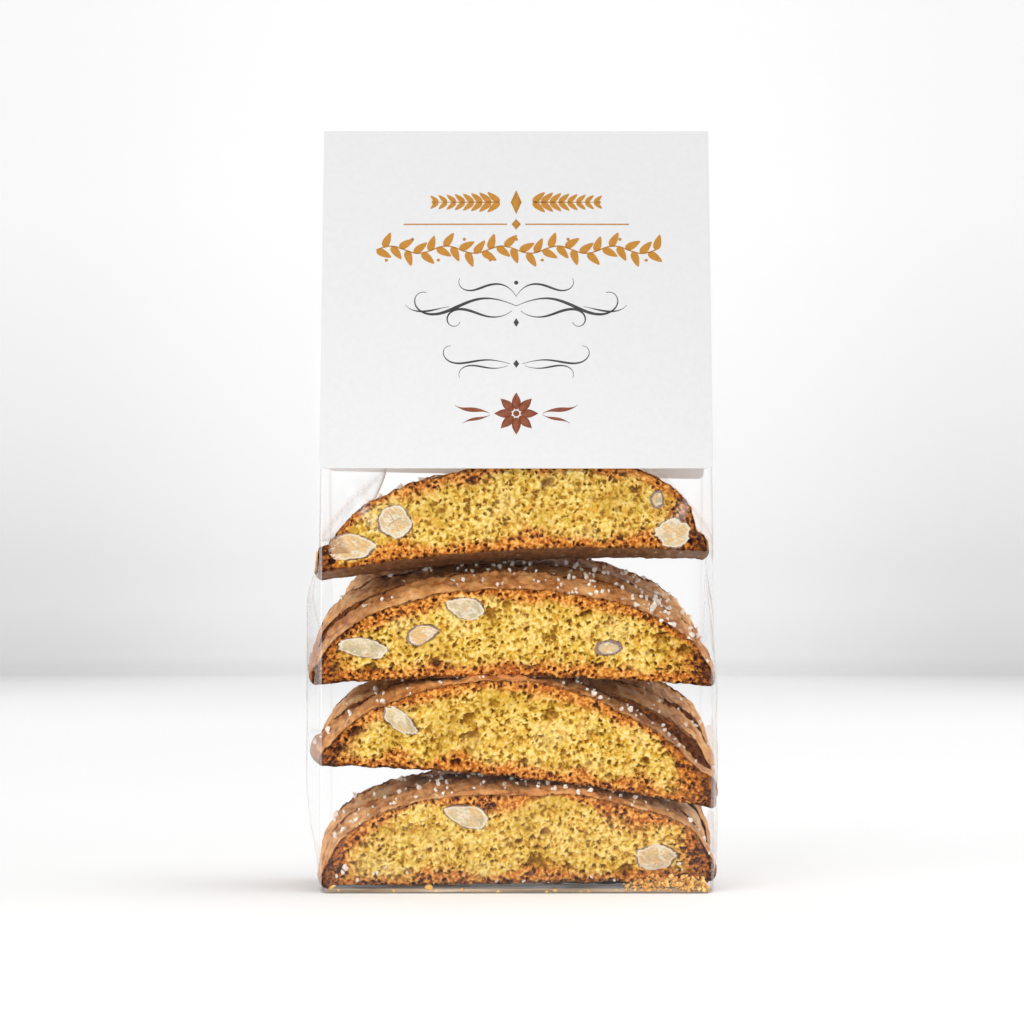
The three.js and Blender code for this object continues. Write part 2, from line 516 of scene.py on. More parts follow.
def almondMaterial():
    material, tree, shader = newMaterial("almond")
    along = addNode(tree, "ShaderNodeAttribute", attribute_name="kernel").outputs["Vector"]
    fibre = stretch(tree, along, (0.5, 1.3, 1.0))
    lines = cloud(tree, fibre, 1.9, 4.0, 0.62)
    cream, warm, ivory = [almondColours[name] for name in ("cream", "warm", "ivory")]
    grain = useGroup(tree, grainEffect, Vector=along, Color=cream, Dark=ivory, Scale=0.28)
    grey = smooth(tree, cloud(tree, along, 0.30, 1.5, 0.5), 0.50, 0.55)  # flat facets of the cut
    flesh = blend(tree, multiply(tree, grey, 0.75), grain["Color"], ivory)
    blush = add(tree, cloud(tree, along, 0.5, 3.0, 0.55), multiply(tree, attribute(tree, "warm"), 0.35))
    flesh = blend(tree, multiply(tree, smooth(tree, blush, 0.55, 0.80), 0.85), flesh, warm)
    elsewhere = vectorMaths(tree, "ADD", along, (5.0, 3.0, 0.0))
    bright = smooth(tree, cloud(tree, elsewhere, 0.36, 2.5, 0.55), 0.50, 0.58)
    flesh = blend(tree, multiply(tree, bright, 0.8), flesh, almondColours["rim"])
    veined = multiply(tree, smooth(tree, lines, 0.46, 0.66), 0.6)
    flesh = blend(tree, veined, flesh, almondColours["vein"])
    halo = multiply(tree, smooth(tree, attribute(tree, "halo"), 0.3, 0.95), 0.8)
    flesh = blend(tree, halo, flesh, almondColours["rim"])
    cracked = smooth(tree, attribute(tree, "crack"), 0.3, 0.9)
    flesh = blend(tree, multiply(tree, cracked, 0.75), flesh, almondColours["torn"])
    torn = multiply(tree, attribute(tree, "torn"), smooth(tree, lines, 0.30, 0.52))
    flesh = blend(tree, torn, flesh, almondColours["torn"])
    speckle = cloud(tree, along, 4.0, 3.0, 0.6)
    skin = ramp(tree, speckle, (0.36, almondColours["skinDark"]), (0.66, almondColours["skinPale"]))
    edge = add(tree, attribute(tree, "skin"), multiply(tree, subtract(tree, speckle, 0.5), 0.9))
    feed(tree, shader.inputs["Base Color"], blend(tree, smooth(tree, edge, 0.30, 0.62), flesh, skin))
    feed(tree, shader.inputs["Roughness"], add(tree, 0.46, multiply(tree, lines, 0.3)))
    addBump(tree, shader, lines, 0.00016, 0.9)
    return material


def sugarMaterial():
    material, _, shader, _ = grainedMaterial("sugar", "sugar", 900.0, 0.25, 0.3)
    # painted glow: the grains emit a little light of their own, standing in for light scattered inside
    # them
    shader.inputs["Emission Color"].default_value = (1.0, 0.93, 0.80, 1)
    shader.inputs["Emission Strength"].default_value = 0.12
    return material


def looseCrumbMaterial():
    material, tree, shader = newMaterial("looseCrumb")
    place = objectPlace(tree)
    toast = multiply(tree, smooth(tree, cloud(tree, place, 560, 2.0, 0.5), 0.38, 0.56), 0.85)
    pit = subtract(tree, cloud(tree, place, 900, 3.0, 0.6), 0.46)
    crumb = useGroup(tree, crumbEffect, Vector=place, Toast=toast, Pit=multiply(tree, pit, 0.9))
    feed(tree, shader.inputs["Base Color"], crumb["Color"])
    feed(tree, shader.inputs["Roughness"], crumb["Roughness"])
    addBump(tree, shader, crumb["Height"], 0.0002)
    return material


filmFinish = {
    "straightOn": 0.006,  # share reflected by one face seen straight on
    "grazing": 0.40,
    "crease": 0.16,  # extra haze along a crease
    "roughness": 0.09,
}


def filmMaterial():
    material, tree, shader = newMaterial("clearFilm")
    facing = addNode(tree, "ShaderNodeLayerWeight", {"Blend": 0.5}).outputs["Facing"]
    gloss = multiply(tree, maths(tree, "POWER", facing, 5.0), filmFinish["grazing"])
    crease = attribute(tree, "crease")
    haze = multiply(tree, crease, filmFinish["crease"])
    alpha = maths(tree, "ADD", add(tree, gloss, filmFinish["straightOn"]), haze, clamp=True)
    dull = multiply(tree, smooth(tree, crease, 0.05, 0.6), 0.4)
    feed(tree, shader.inputs["Roughness"], add(tree, dull, filmFinish["roughness"]))
    feed(tree, shader.inputs["Alpha"], alpha)
    shader.inputs["Base Color"].default_value = (1, 1, 1, 1)
    shader.inputs["Metallic"].default_value = 1.0
    return material


def cardMaterial():
    material, tree, shader, grain = grainedMaterial("whiteCard", "card", 700.0, 0.42, 0.12)
    shader.inputs["Specular IOR Level"].default_value = 0.4
    # painted glow: the card emits a little light of its own, standing in for light that comes through
    # thin card
    shader.inputs["Emission Color"].default_value = (1.0, 1.0, 1.0, 1)
    shader.inputs["Emission Strength"].default_value = 0.075
    addBump(tree, shader, grain["Height"], 0.00003, 0.5)
    return material


def inkMaterial(name):
    return grainedMaterial(name, name, 1200.0, 0.4, 0.2)[0]


materials = {
    "biscuit": biscuitMaterial(),
    "almond": almondMaterial(),
    "sugar": sugarMaterial(),
    "crumb": looseCrumbMaterial(),
    "film": filmMaterial(),
    "card": cardMaterial(),
    "goldPrint": inkMaterial("goldInk"),
    "darkPrint": inkMaterial("charcoalInk"),
    "brownPrint": inkMaterial("brownInk"),
}
print("materials made")

cutting = {
    "thickness": 16.2,
    "fineCell": 0.22,  # mesh on a cut face that shows
    "fineRow": 0.265,
    "backCell": 0.25,  # on the hindmost slices
    "coarseRow": 0.8,  # and on a face that is covered, closer together near its edge
    "coarseCell": 0.42,
    "acrossSteps": 24,  # rows over the crust from the front to the back
    "topRim": 4.6,  # how far the toasting goes in from the crust
    "soleRim": 5.4,
    "rimChange": 0.5,  # how much that varies along the slice
    "footReach": 15.0,
    "cornerWear": 0.9,
}

# Where each slice lies, its size and turns, and what shows on its cut face.
# x, y, z is the middle of its sole. full: roundness of the dome's left and right half, 2 is an ellipse.
# feet: height and width of the left and the right foot. holes: x, z, radius, depth.
# flare: how much further the left and the right end reach at the back of the slice than at its front.
# almonds: x, z, length, width, turn, kind.
slices = {
    "bottomFront": {
        "bake": 0.04, "length": 102.6, "height": 24.8, "place": (1.6, -15.6, 3.2), "roll": -1.1,
        "pitch": 11, "yaw": 1, "taper": 0.04, "arch": 0.5, "skew": -0.06, "full": (2.3, 2.5),
        "feet": (6.0, 0.7, 7.0, 0.8), "flare": (1.0, -0.6), "seed": 41, "shows": -1,
        "almonds": [
            (-13.2, 18.6, 11.5, 5.8, -18, "smooth"), (35.5, 6.8, 10.8, 6.6, 5, "fibrous"),
        ],
        "holes": [
            (4.8, 5.9, 2.4, 1.6), (0.2, 11.5, 1.0, 1.8), (4.8, 9.8, 0.8, 1.4),
            (7.1, 13.8, 1.3, 1.8), (-28.2, 4.2, 1.2, 0.9), (-6.7, 20.3, 1.6, 1.4),
            (13.0, 4.8, 0.9, 1.1), (27.8, 3.4, 2.2, 1.1),
        ],
    },
    "bottomMiddle": {
        "length": 103.0, "height": 26.6, "place": (1.0, 2.4, 2.5), "roll": 0.2, "pitch": 12.5,
        "full": (2.9, 3.2), "feet": (10.5, 0.7, 8.6, 0.7), "flare": (0.6, 0.0), "seed": 42,
    },
    "bottomBack": {
        "length": 102.2, "height": 25.0, "place": (2.1, 20.0, 5.4), "roll": -3.2, "pitch": 12,
        "yaw": -1, "full": (3.2, 3.2), "feet": (7.0, 0.7, 10.0, 0.5), "endRound": 1.4, "seed": 43,
        "shows": 1,
        "almonds": [
            (20.0, 12.0, 11.0, 6.0, 20, "smooth"), (-33.0, 7.0, 10.0, 6.2, -8, "split"),
        ],
        "holes": [
            (2.0, 15.0, 1.8, 1.8), (-12.0, 8.0, 1.4, 1.4), (34.0, 12.0, 1.6, 1.5),
        ],
    },
    "lowerFront": {
        "bake": 0.12, "length": 104.4, "height": 28.8, "place": (1.1, -15.6, 27.9), "roll": 6.4,
        "pitch": 9, "yaw": 2, "taper": 0.03, "arch": 2.6, "skew": 0.0, "full": (1.75, 1.66),
        "feet": (5.0, 0.7, 8.0, 0.6), "endRound": 1.6, "flare": (2.4, -0.6), "seed": 31,
        "shows": -1,
        "almonds": [
            (-31.8, 14.0, 10.8, 4.9, -30, "jagged"),
        ],
        "holes": [
            (-42.5, 10.3, 1.5, 2.0), (-46.9, 4.6, 1.3, 1.8), (-49.2, 5.0, 0.8, 1.0),
            (-13.3, 11.8, 2.2, 1.1), (-14.4, 16.7, 1.6, 1.5), (-16.4, 4.7, 1.4, 1.9),
            (6.2, 19.7, 1.9, 1.7), (1.2, 7.1, 1.0, 1.5), (31.8, 10.9, 1.0, 1.5),
            (-8.5, 21.3, 1.2, 1.4), (17.5, 16.0, 1.5, 1.2), (23.5, 5.5, 1.1, 1.2),
        ],
    },
    "lowerMiddle": {
        "length": 104.8, "height": 26.4, "place": (1.1, 3.5, 31.1), "roll": 4.0, "pitch": 16.5,
        "yaw": 1.5, "skew": 0.02, "full": (2.5, 2.1), "feet": (5.0, 0.7, 6.6, 0.7),
        "flare": (0.2, 1.0), "seed": 32,
    },
    "lowerBack": {
        "length": 102.6, "height": 26.0, "place": (1.9, 20.6, 32.7), "roll": 4.4, "pitch": 17,
        "skew": 0.04, "full": (2.3, 2.95), "feet": (5.0, 0.7, 7.0, 0.7), "seed": 33, "shows": 1,
        "almonds": [
            (-20.0, 10.0, 11.5, 6.5, 12, "split"), (30.0, 9.0, 10.5, 5.6, -15, "plain"),
            (3.0, 17.0, 8.0, 5.0, 5, "thick"),
        ],
        "holes": [
            (12.0, 8.0, 1.7, 1.6), (-6.0, 12.0, 1.3, 1.5), (-38.0, 6.0, 1.4, 1.4),
        ],
    },
    "upperFront": {
        "length": 105.0, "height": 26.8, "place": (0.4, -14.9, 54.5), "roll": 0.2, "pitch": 13,
        "yaw": -1.5, "bake": 0.12, "taper": 0.06, "arch": 2.5, "skew": -0.04, "full": (2.0, 2.15),
        "feet": (5.4, 0.9, 5.4, 0.7), "endRound": 1.4, "flare": (1.4, -0.7), "seed": 21,
        "shows": -1,
        "almonds": [
            (-38.6, 10.1, 12.7, 5.2, -8, "plain"), (-23.1, 13.7, 8.6, 4.9, 18, "thin"),
            (-12.2, 20.6, 10.1, 5.6, -10, "plain"), (24.7, 10.3, 7.2, 4.0, 2, "thick"),
        ],
        "holes": [
            (38.1, 12.8, 1.9, 2.0), (43.8, 9.6, 1.7, 1.6), (-36.4, 4.7, 1.7, 1.8),
            (-5.3, 18.9, 2.0, 1.8), (-19.4, 5.9, 1.4, 1.3), (9.3, 12.5, 1.7, 1.1),
            (18.8, 19.0, 1.4, 1.4), (-1.7, 21.0, 1.5, 1.1),
        ],
    },
    "upperMiddle": {
        "length": 104.6, "height": 26.5, "bake": 0.05, "place": (-0.9, 2.9, 57.6), "roll": -0.3,
        "pitch": 15, "seed": 22, "full": (2.5, 2.15), "flare": (0.6, 0.2),
    },
    "upperBack": {
        "length": 102.0, "height": 26.5, "place": (-1.2, 20.5, 60.0), "roll": -0.9, "pitch": 16,
        "seed": 23, "full": (4.6, 2.35), "feet": (3.0, 6.5, 4.2, 0.7), "shows": 1,
        "almonds": [
            (-28.0, 13.0, 11.0, 6.0, -20, "jagged"), (14.0, 9.0, 12.0, 6.6, 8, "fibrous"),
        ],
        "holes": [
            (0.0, 16.0, 1.6, 1.6), (28.0, 12.0, 1.8, 1.8), (-10.0, 6.0, 1.2, 1.4),
        ],
    },
    "topFront": {
        "length": 102.0, "height": 26.0, "place": (0.1, -16.3, 83.7), "roll": -3.2, "pitch": -7.3,
        "arch": 3.2, "skew": 0.10, "full": (2.35, 2.6), "feet": (7.0, 2.8, 4.8, 2.2),
        "endRound": 0.8, "seed": 11, "shows": -1,
        "almonds": [
            (-41.0, 6.2, 12.1, 7.0, 0, "torn"), (-29.6, 12.2, 8.9, 8.4, -22, "split"),
            (41.7, 5.2, 9.0, 7.5, -3, "fibrous"), (38.2, 14.2, 3.6, 4.6, 0, "thick"),
        ],
        "holes": [
            (33.0, 17.0, 1.3, 1.4), (46.5, 3.2, 1.1, 1.4), (-46.5, 2.8, 1.0, 1.4),
            (-9.0, 22.0, 1.4, 1.1), (10.0, 20.5, 1.6, 1.1), (-18.0, 14.5, 1.2, 1.0),
        ],
    },
    "topMiddle": {
        "length": 98.0, "height": 22.5, "thickness": 13.4, "place": (0.8, 0.3, 87.4), "roll": -2,
        "seed": 12,
    },
    "topBack": {
        "length": 97.0, "height": 22.0, "thickness": 14.8, "place": (0.8, 16.2, 88.8), "roll": -1,
        "pitch": 6, "seed": 13, "shows": 1,
        "almonds": [
            (-15.0, 9.0, 11.0, 6.4, 10, "plain"), (24.0, 13.0, 9.5, 5.4, -22, "torn"),
        ],
        "holes": [
            (5.0, 10.0, 1.6, 1.5), (-32.0, 8.0, 1.3, 1.3),
        ],
    },
}
# what a slice has where its own entry doesn't say
usual = {
    "bake": 0, "yaw": 0, "roll": 0, "pitch": 0, "taper": 0, "arch": 0, "skew": 0,
    "full": (2.0, 2.0), "shows": 0, "feet": (4.2, 0.7, 4.2, 0.7), "flare": (0, 0), "endRound": 2.0,
    "thickness": cutting["thickness"], "almonds": [], "holes": [],
}
slices = {name: {**usual, **cut} for name, cut in slices.items()}


def easeIn(value, low, high):
    share = np.clip((value - low) / (high - low), 0, 1)
    return share * share * (3 - 2 * share)


def ripple(a, b, seed):
    # low waves that differ from place to place
    chance = np.random.default_rng(seed)
    total = 0
    for _ in range(7):
        turn = chance.uniform(0, math.pi)
        step = 2 * math.pi / chance.uniform(9, 34)
        run = (a * math.cos(turn) + b * math.sin(turn)) * step
        total = total + np.sin(run + chance.uniform(0, 6.28))
    return total / 7


def wobble(x, w, seed, pitch, amount):
    # smooth uneven edge: a few sines whose phases come from the slice's seed
    chance = np.random.default_rng(seed)
    total = 0
    for _ in range(4):
        step = 2 * math.pi / (pitch * chance.uniform(0.6, 1.7))
        total = total + np.sin(x * step + chance.uniform(0, 6.28) + w * chance.uniform(-1.2, 1.2)) / 4
    return amount * total


def sliceEdges(cut, x, w):
    # heights of the sole and of the crust at x along the slice, w from -1 at the front to 1 at the back
    half = cut["length"] / 2
    leftHeight, leftInset, rightHeight, rightInset = cut["feet"]
    left = x < 0
    domeHalf = half - np.where(left, leftInset, rightInset)
    power = np.where(left, *cut["full"])
    rise = np.clip(1 - np.abs(x / domeHalf) ** power, 0, 1) ** (1 / power)
    dome = cut["height"] * rise * (1 + cut["skew"] * x / half) * (1 + cut["taper"] * w / 2)
    fromEnd = half - np.abs(x)
    lowRound = 0.8 * cut["endRound"]
    footRound = np.sqrt(1 - np.clip(1 - fromEnd / cut["endRound"], 0, 1) ** 2)
    footTop = lowRound + (np.where(left, leftHeight, rightHeight) - lowRound) * footRound
    footTop = footTop + 0.35 * np.clip(fromEnd, 0, 4)
    top = (dome + footTop + np.sqrt((dome - footTop) ** 2 + 0.9)) / 2 - 0.4
    bottom = lowRound * (1 - np.sqrt(1 - np.clip(1 - fromEnd / lowRound, 0, 1) ** 2))
    inside = np.clip(fromEnd / 3, 0, 1)
    bottom = bottom + cut["arch"] * (1 - (x / half) ** 2) * (1 - 0.25 * (1 + w) / 2)
    seed = cut["seed"]
    top = top + inside * (wobble(x, w, seed, 22, 0.55) + wobble(x, 2 * w, seed + 1, 6, 0.28))
    rough = wobble(x, w, seed + 2, 9, 0.28) + wobble(x, 3 * w, seed + 3, 2.5, 0.14)
    bottom = bottom + inside * rough
    return bottom, np.maximum(top, bottom + 0.6)


def sliceColumns(cut, cell):
    # x of each column, closer together where the crust is steep
    half = cut["length"] / 2
    x = np.linspace(-half, half, 4001)
    top = sliceEdges(cut, x, 0)[1]
    run = np.concatenate([[0], np.cumsum(np.hypot(np.diff(x), 0.55 * np.diff(top)))])
    return np.interp(np.linspace(0, run[-1], int(run[-1] / cell) + 1), run, x)


def faceRows(cut, side):
    # heights of the mesh rows on a cut face, as shares of its own height
    if cut["shows"] == side:
        cell = cutting["fineRow"] if side < 0 else cutting["backCell"]
        return np.linspace(0, 1, int(cut["height"] / cell) + 1)
    even = np.linspace(-1, 1, int(cut["height"] / cutting["coarseRow"]) + 1)
    return 0.5 + 0.5 * (0.3 * even + 0.7 * even * (2 - np.abs(even)))


def sliceBody(name, cut):
    front, back = [faceRows(cut, side) for side in (-1, 1)]
    across = cutting["acrossSteps"]
    cell = {-1: cutting["fineCell"], 0: cutting["coarseCell"], 1: cutting["backCell"]}[cut["shows"]]
    columns = sliceColumns(cut, cell)
    inner = np.linspace(-1, 1, across + 1)[1:-1]
    ringW = np.concatenate([0 * front - 1, inner, 0 * back + 1, inner[::-1]])
    ringV = np.concatenate([front, np.ones(len(inner)), back[::-1], np.zeros(len(inner))])
    ringCut = np.concatenate([0 * front - 1, 0 * inner, 0 * back + 1, 0 * inner])
    steps = np.arange(1, across)
    endStep = np.concatenate([0 * front, steps, 0 * back + across, steps[::-1]]).astype(int)
    x = columns[:, None] + 0 * ringV[None]
    w = ringW[None] + 0 * x
    bottom, top = sliceEdges(cut, x, w)
    v = ringV[None] + 0 * x
    z = bottom + (top - bottom) * v
    y = w * cut["thickness"] / 2

    slope = np.gradient(top, columns, axis=0)
    fromTop = (top - z) / np.sqrt(1 + slope**2)
    fromSole = z - bottom
    fromEnd = cut["length"] / 2 - np.abs(x)
    foot = np.clip(1 - fromEnd / cutting["footReach"], 0, 1)
    topRim = cutting["topRim"] * (1 + cutting["rimChange"] * wobble(x, w, cut["seed"] + 4, 26, 2.0))
    soleRim = cutting["soleRim"] * (1 + cutting["rimChange"] * wobble(x, w, cut["seed"] + 5, 20, 1.2))
    toast = np.maximum.reduce([1 - fromTop / topRim, 1 - fromSole / soleRim, 1.05 * foot])
    toast = np.clip(toast, 0, 1)
    rim = np.minimum.reduce([fromTop, fromSole, fromEnd + 0.3])
    onCut = np.abs(ringCut)[None] + 0 * x
    underside = (ringV < 0.5)[None] * (1 - onCut)
    rimCrust = np.clip(1 - (1 - np.abs(w)) * cut["thickness"] / 2 / 2.4, 0, 1)
    rimCrust = np.maximum(rimCrust, 0.9 * easeIn(bottom - top, -5.5, -2))
    dent = np.zeros_like(x)
    hollow = np.zeros_like(x)
    socket = np.zeros_like(x)
    face = onCut * (ringCut[None] == cut["shows"])
    # a covered face, against the next slice, goes to dark toasted skin: partly a toasted edge, partly
    # painted shade of the gap between slices
    covered = onCut * (ringCut[None] != cut["shows"]) * easeIn(-rim, -7, -4)
    toast = np.maximum(toast, covered)
    hollow = np.maximum(hollow, 0.35 * covered)
    patchy = 0.5 + 0.5 * ripple(2.2 * x, 2.6 * z, cut["seed"])
    hollow = np.maximum(hollow, 0.45 * face * easeIn(foot, 0.55, 0.95) * patchy)
    for holeX, holeZ, radius, depth in cut["holes"]:
        seed = cut["seed"] + int(10 * radius)
        far = np.hypot((x - holeX), (z - holeZ) * 1.15) / radius
        far = far + wobble(1.3 * x + 0.4 * z, 0, seed, 3.1, 0.35)
        far = far + wobble(1.6 * z - 0.5 * x, 0, seed + 1, 2.3, 0.3)
        cup = face * np.clip(1 - np.maximum(far, 0) ** 2, 0, 1) ** 0.4
        dent = np.maximum(dent, depth * 1.5 * cup)
        # painted shade in a hole: darker towards its top, as if lit from above
        hollow = np.maximum(hollow, cup * np.clip(0.65 + 0.6 * (z - holeZ) / radius, 0.25, 1))
    for kernelX, kernelZ, length, width, turn, _ in cut["almonds"]:
        turn = math.radians(turn)
        along = (x - kernelX) * math.cos(turn) + (z - kernelZ) * math.sin(turn)
        side = -(x - kernelX) * math.sin(turn) + (z - kernelZ) * math.cos(turn)
        far = np.hypot(along / (length / 2), side / (width / 2))
        socket = np.maximum(socket, face * np.clip((1.0 - far) * 8, 0, 1))

    count, ring = x.shape
    ids = np.zeros((count, ring), int)
    ids[0] = endStep
    ids[1:-1] = across + 1 + np.arange((count - 2) * ring).reshape(count - 2, ring)
    ids[-1] = across + 1 + (count - 2) * ring + endStep

    def gather(values):
        # one value per point; the two ends close to a line across the slice
        ends = [np.zeros(across + 1), np.zeros(across + 1)]
        for end, row in zip(ends, (values[0], values[-1])):
            np.add.at(end, endStep, row)
            end /= np.bincount(endStep)
        return np.concatenate([ends[0], values[1:-1].ravel(), ends[1]])

    worn = cutting["cornerWear"] * np.abs(w) ** 3 * easeIn(-fromEnd, -7, 0)
    flare = np.where(x < 0, *cut["flare"]) * x / (cut["length"] / 2) * np.sign(x) * (w + 1) / 2
    points = np.stack([gather(x + np.sign(x) * (flare - worn)), gather(y), gather(z)], 1)
    a = ids[:-1]
    d = ids[1:]
    b = np.roll(a, -1, axis=1)
    c = np.roll(d, -1, axis=1)
    faces = []
    for corners in np.stack([a, d, c, b], -1).reshape(-1, 4).tolist():
        turned = corners[-1:] + corners[:-1]
        kept = [corner for corner, before in zip(corners, turned) if corner != before]
        if len(kept) > 2:
            faces.append(kept)
    body = newPiece(name, points, faces, materials["biscuit"])
    sideOf = np.where(onCut > 0, ringCut[None] + 0 * x, 0)
    # how much darker each slice's crust is: partly baking, partly painted shade
    setAttribute(body.data, "bake", np.full(len(points), cut["bake"]))
    looks = {
        "cut": sideOf, "toast": toast, "rim": rim, "crust": 1 - onCut, "under": underside,
        "rimCrust": rimCrust, "dent": dent, "hollow": hollow, "socket": socket,
    }
    for label, values in looks.items():
        setAttribute(body.data, label, gather(values))
    return body


foam = {
    "Lump Size": 0.98,  # spacing of the crumb's granules
    "Lump Height": 0.46,
    "Pore Size": 1.3,
    "Pore Share": 0.66,
    "Bubble Size": 2.5,
    "Bubble Share": 0.2,
    "Torn Depth": 1.1,  # ragged hollows where crumb broke away
    "Sway": 0.9,  # slow rise and fall of the cut face
    "Wrinkle": 0.8,
    "Ragged Edge": 1.7,
    "Socket Depth": 1.3,  # how deep a kernel's seat is
}


def crumbTree():
    # The crumb is a foam cut by the knife: granules stand round pores, which are spheres at Voronoi
    # centres that the cut opens. The crust is wrinkled instead. Works in millimetres.
    inputs = {"Geometry": ("Geometry", None), "Seed": ("Float", 0.0)}
    inputs.update({label: ("Float", value) for label, value in foam.items()})
    outputs = {"Geometry": ("Geometry", None)}
    tree, given, result = newTree("openCrumb", "GeometryNodeTree", inputs, outputs)

    def stored(name):
        return pointValue(tree, name)

    def times(*values):
        return multiply(tree, *values)

    def plus(*values):
        return add(tree, *values)

    def centred(value):
        return subtract(tree, value, 0.5)

    shiftBy = combine(tree, X=given["Seed"], Y=given["Seed"], Z=given["Seed"])
    place = vectorMaths(tree, "SCALE", pointPlace(tree), scale=1000.0)
    place = vectorMaths(tree, "ADD", place, shiftBy)
    shift = cloud(tree, place, 1.0, 3.0, 0.65, colour=True)
    shift = vectorMaths(tree, "SUBTRACT", shift, (0.5, 0.5, 0.5))
    warped = vectorMaths(tree, "ADD", place, vectorMaths(tree, "SCALE", shift, scale=1.7))
    inward = times(stored("cut"), -1.0)
    onCut = maths(tree, "ABSOLUTE", stored("cut"))

    def pores(size, share, reach):
        scale = maths(tree, "DIVIDE", 1.0, size)
        cells = addNode(tree, "ShaderNodeTexVoronoi", {"Vector": warped, "Scale": scale})
        centre = cells.outputs["Position"]
        dice = addNode(tree, "ShaderNodeTexWhiteNoise", {"Vector": centre})
        way = split(tree, vectorMaths(tree, "SUBTRACT", centre, warped))
        radius = times(size, reach, plus(0.5, times(dice.outputs["Value"], 0.65)))
        flat = plus(times(way["X"], way["X"]), times(way["Z"], way["Z"]))
        left = subtract(tree, times(radius, radius), flat)
        bulge = maths(tree, "SQRT", maths(tree, "MAXIMUM", left, 0.0))
        deep = plus(times(way["Y"], inward), bulge)
        colour = split(tree, dice.outputs["Color"])["X"]
        opened = times(maths(tree, "GREATER_THAN", left, 0.0), maths(tree, "LESS_THAN", colour, share))
        return times(maths(tree, "MAXIMUM", deep, 0.0), opened)

    def granules(size):
        scale = maths(tree, "DIVIDE", 1.0, size)
        cells = addNode(tree, "ShaderNodeTexVoronoi", {"Vector": warped, "Scale": scale})
        dice = addNode(tree, "ShaderNodeTexWhiteNoise", {"Vector": cells.outputs["Position"]})
        hump = smooth(tree, cells.outputs["Distance"], 0.15, 0.85)
        return plus(hump, times(centred(dice.outputs["Value"]), 0.7))

    rim = stored("rim")
    loose = smooth(tree, rim, 1.0, 4.5)
    fine = pores(given["Pore Size"], given["Pore Share"], 0.52)
    bubbles = times(pores(given["Bubble Size"], given["Bubble Share"], 0.42), loose)
    lumps = times(granules(given["Lump Size"]), given["Lump Height"])
    small = times(granules(times(given["Lump Size"], 0.45)), given["Lump Height"], 0.35)
    sway = times(centred(cloud(tree, place, 0.34, 2.0, 0.55)), given["Sway"])
    torn = times(smooth(tree, cloud(tree, place, 0.36, 3.0, 0.6), 0.56, 0.68), loose)
    opening = maths(tree, "MAXIMUM", maths(tree, "MAXIMUM", fine, bubbles), stored("dent"))
    opening = maths(tree, "MAXIMUM", opening, times(torn, given["Torn Depth"]))
    crumble = times(subtract(tree, 1.0, smooth(tree, rim, 0.0, 1.1)), given["Ragged Edge"])
    crumble = times(crumble, smooth(tree, cloud(tree, place, 0.9, 3.0, 0.65), 0.36, 0.62))
    depth = plus(opening, lumps, small, sway, crumble)
    mixed = {0: stored("socket"), 2: depth, 3: given["Socket Depth"]}
    depth = addNode(tree, "ShaderNodeMix", mixed, data_type="FLOAT").outputs[0]
    depth = times(depth, onCut)
    # pit: darker where the crumb lies deeper, painted shade in pores, between granules and in torn
    # hollows, plus the hollow attribute
    dark = plus(times(fine, 1.0), times(bubbles, 0.5), times(lumps, 1.15), times(small, 1.2))
    dark = plus(dark, times(sway, 0.25), times(torn, 0.22))
    dark = plus(smooth(tree, dark, -0.05, 1.3), times(stored("hollow"), 0.8))

    wide = vectorMaths(tree, "ADD", place, vectorMaths(tree, "SCALE", shift, scale=2.0))
    wide = vectorMaths(tree, "MULTIPLY", wide, (0.16, 0.13, 0.16))
    ridges = maths(tree, "ABSOLUTE", centred(cloud(tree, wide, 1.0, 2.5, 0.5)))
    ridges = maths(tree, "SUBTRACT", 1.0, times(ridges, 7.0), clamp=True)
    ridges = times(ridges, ridges, ridges)
    swell = times(centred(cloud(tree, place, 0.13, 2.0, 0.5)), 2.4)
    skin = times(centred(cloud(tree, place, 0.45, 2.0, 0.6)), 0.75)
    onCrust = maths(tree, "SUBTRACT", stored("crust"), stored("under"), clamp=True)
    lift = plus(skin, swell, times(ridges, -0.45))
    pimples = times(centred(cloud(tree, place, 1.3, 2.0, 0.6)), 0.35)
    lift = plus(times(lift, plus(onCrust, 0.15)), pimples)
    lift = times(lift, given["Wrinkle"], stored("crust"))
    normal = addNode(tree, "GeometryNodeInputNormal").outputs[0]
    push = vectorMaths(tree, "SCALE", normal, scale=times(lift, mm))
    dug = combine(tree, Y=times(depth, inward, mm))

    def store(geometry, name, value):
        values = {"Geometry": geometry, "Name": name, "Value": value}
        return addNode(tree, "GeometryNodeStoreNamedAttribute", values, data_type="FLOAT").outputs[0]

    kept = store(given["Geometry"], "pit", dark)
    # fold: the crust's grooves, which the material paints darker, partly as painted shade
    kept = store(kept, "fold", times(ridges, onCrust))
    offset = vectorMaths(tree, "ADD", push, dug)
    moved = addNode(tree, "GeometryNodeSetPosition", {"Geometry": kept, "Offset": offset}).outputs[0]
    finishTree(tree, result, moved, materials["biscuit"])
    return tree


def placeOf(cut):
    turn = (
        Matrix.Rotation(math.radians(cut["yaw"]), 4, "Z")
        @ Matrix.Rotation(math.radians(cut["pitch"]), 4, "X")
        @ Matrix.Rotation(math.radians(cut["roll"]), 4, "Y")
    )
    return Matrix.Translation(Vector(cut["place"]) * mm) @ turn


openCrumb = crumbTree()
biscuits = {}
for name, cut in slices.items():
    body = sliceBody("biscuit_" + name, cut)
    body.data.transform(Matrix.Scale(mm, 4))
    bakeTree(body, openCrumb, {"Seed": float(cut["seed"] * 7), **foam})
    body.data.transform(placeOf(cut))
    biscuits[name] = body
    print("slice", name, len(body.data.polygons), "faces")


